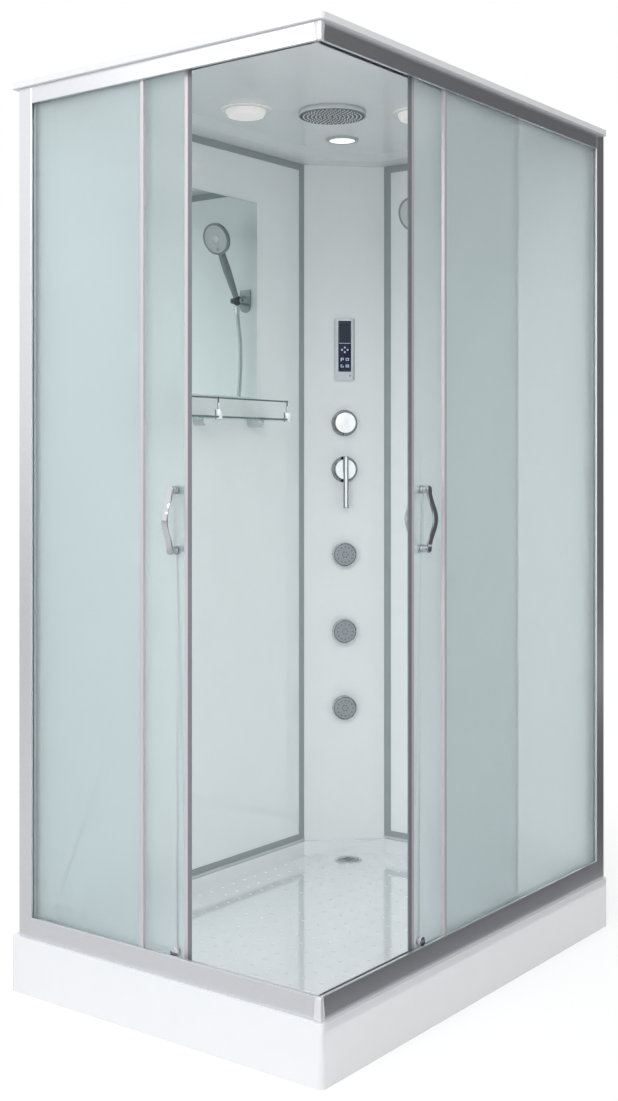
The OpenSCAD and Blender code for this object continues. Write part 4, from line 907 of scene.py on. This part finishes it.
bead = bmesh.new()
section = [(0, 0), (0.0031, 0), (0.0029, 0.0018), (0.0018, 0.0050), (0.0004, 0.0064), (0, 0.0064)]
left_run = Matrix(((1, 0, 0, WALL_X), (0, 0, 1, 0), (0, 1, 0, 0.133), (0, 0, 0, 1)))
prism(bead, left_run, section, -0.598, 0.449)
back_run = Matrix(((0, 0, 1, 0), (-1, 0, 0, WALL_Y), (0, 1, 0, 0.133), (0, 0, 0, 1)))
prism(bead, back_run, section, -0.250, 0.400)
piece_of("wall_bead", bead, "root", "acrylic_white", JOINT_PALE, smooth=False)


# ---------------- floor, studio cards, lamps and world


def plane(name, size, at, facing):
    mesh = bpy.data.meshes.new(name)
    w, h = size[0] / 2, size[1] / 2
    mesh.from_pydata([(-w, -h, 0), (w, -h, 0), (w, h, 0), (-w, h, 0)], [], [(0, 1, 2, 3)])
    obj = bpy.data.objects.new(name, mesh)
    obj.location = at
    obj.rotation_euler = Vector(facing).to_track_quat("Z", "Y").to_euler()
    bpy.context.scene.collection.objects.link(obj)
    return obj


# The floor keeps the object's shadow near it and turns white further out
FLOOR_GLOW = 0.35
FADE_START = 0.9
FADE_END = 2.2
floor = plane("floor", (60, 60), (0, 0, 0), (0, 0, 1))
pale = bpy.data.materials.new("floor_pale")
pale.use_nodes = True
pale_tree = pale.node_tree
pale_tree.nodes.clear()
pale_out = pale_tree.nodes.new("ShaderNodeOutputMaterial")
pale_diffuse = shader_node(pale_tree, "ShaderNodeBsdfDiffuse", Color=(0.82, 0.82, 0.82, 1))
pale_glow = shader_node(pale_tree, "ShaderNodeEmission", Color=(1, 1, 1, 1))
pale_path = pale_tree.nodes.new("ShaderNodeLightPath")
pale_seen = pale_tree.nodes.new("ShaderNodeMath")
pale_seen.operation = "MAXIMUM"
pale_share = pale_tree.nodes.new("ShaderNodeMath")
pale_share.operation = "MULTIPLY"
pale_share.inputs[1].default_value = FLOOR_GLOW
pale_add = pale_tree.nodes.new("ShaderNodeAddShader")
pale_where = pale_tree.nodes.new("ShaderNodeTexCoord")
pale_far = pale_tree.nodes.new("ShaderNodeVectorMath")
pale_far.operation = "LENGTH"
pale_fade = shader_node(pale_tree, "ShaderNodeMapRange")
pale_fade.interpolation_type = "SMOOTHSTEP"
pale_fade.inputs["From Min"].default_value = FADE_START
pale_fade.inputs["From Max"].default_value = FADE_END
pale_white = shader_node(pale_tree, "ShaderNodeEmission", Color=(1, 1, 1, 1), Strength=1.0)
pale_faded = pale_tree.nodes.new("ShaderNodeMath")
pale_faded.operation = "MULTIPLY"
pale_mix = pale_tree.nodes.new("ShaderNodeMixShader")
pale_tree.links.new(pale_where.outputs["Object"], pale_far.inputs[0])
pale_tree.links.new(pale_far.outputs["Value"], pale_fade.inputs["Value"])
pale_tree.links.new(pale_fade.outputs["Result"], pale_faded.inputs[0])
pale_tree.links.new(pale_seen.outputs[0], pale_faded.inputs[1])
pale_tree.links.new(pale_faded.outputs[0], pale_mix.inputs[0])
pale_tree.links.new(pale_path.outputs["Is Camera Ray"], pale_seen.inputs[0])
pale_tree.links.new(pale_path.outputs["Is Transmission Ray"], pale_seen.inputs[1])
pale_tree.links.new(pale_seen.outputs[0], pale_share.inputs[0])
pale_tree.links.new(pale_share.outputs[0], pale_glow.inputs["Strength"])
pale_tree.links.new(pale_diffuse.outputs[0], pale_add.inputs[0])
pale_tree.links.new(pale_glow.outputs[0], pale_add.inputs[1])
pale_tree.links.new(pale_add.outputs[0], pale_mix.inputs[1])
pale_tree.links.new(pale_white.outputs[0], pale_mix.inputs[2])
pale_tree.links.new(pale_mix.outputs[0], pale_out.inputs["Surface"])
floor.data.materials.append(pale)

card_dark = bpy.data.materials.new("card_dark")
card_dark.use_nodes = True
card_dark.node_tree.nodes["Principled BSDF"].inputs["Base Color"].default_value = (0.12, 0.12, 0.124, 1)
for name, size, at, facing in (
    ("card_right", (8, 8), (4.2, 4.4, 1.6), (-1, -1, 0)),
    ("card_low", (3.0, 5.0), (2.1, 1.6, 0.02), (0, 0, 1)),
):
    card = plane(name, size, at, facing)
    card.data.materials.append(card_dark)
    card.visible_camera = False
    card.visible_diffuse = False
    card.visible_transmission = False
    card.visible_shadow = False


def area_lamp(name, at, target, size, power):
    data = bpy.data.lights.new(name, "AREA")
    data.shape = "SQUARE"
    data.size = size
    data.energy = power
    lamp = bpy.data.objects.new(name, data)
    lamp.location = at
    lamp.rotation_euler = (Vector(target) - Vector(at)).to_track_quat("-Z", "Y").to_euler()
    bpy.context.scene.collection.objects.link(lamp)
    return lamp


LAMPS = (
    ("key", (-1.4, -4.4, 3.6), (0, 0, 1.1), 2.4, 40),
    ("front", (1.2, -4.4, 1.0), (0, 0, 1.0), 2.2, 21),
    ("corner", (2.4, -3.6, 3.8), (0, 0, 1.0), 2.0, 44),
)
WORLD_LIGHT = 0.69
for lamp_row in LAMPS:
    area_lamp(*lamp_row)

world = bpy.data.worlds.new("studio")
bpy.context.scene.world = world
world.use_nodes = True
world_tree = world.node_tree
world_tree.nodes.clear()
world_out = world_tree.nodes.new("ShaderNodeOutputWorld")
world_light = shader_node(world_tree, "ShaderNodeBackground", Color=(1, 1, 1, 1), Strength=WORLD_LIGHT)
world_seen = shader_node(world_tree, "ShaderNodeBackground", Color=(1, 1, 1, 1), Strength=1.0)
world_path = world_tree.nodes.new("ShaderNodeLightPath")
world_any = None
for ray in ("Is Camera Ray", "Is Glossy Ray", "Is Transmission Ray"):
    if world_any is None:
        world_any = world_path.outputs[ray]
        continue
    world_most = world_tree.nodes.new("ShaderNodeMath")
    world_most.operation = "MAXIMUM"
    world_tree.links.new(world_any, world_most.inputs[0])
    world_tree.links.new(world_path.outputs[ray], world_most.inputs[1])
    world_any = world_most.outputs[0]
world_mix = world_tree.nodes.new("ShaderNodeMixShader")
world_tree.links.new(world_any, world_mix.inputs[0])
world_tree.links.new(world_light.outputs[0], world_mix.inputs[1])
world_tree.links.new(world_seen.outputs[0], world_mix.inputs[2])
world_tree.links.new(world_mix.outputs[0], world_out.inputs["Surface"])
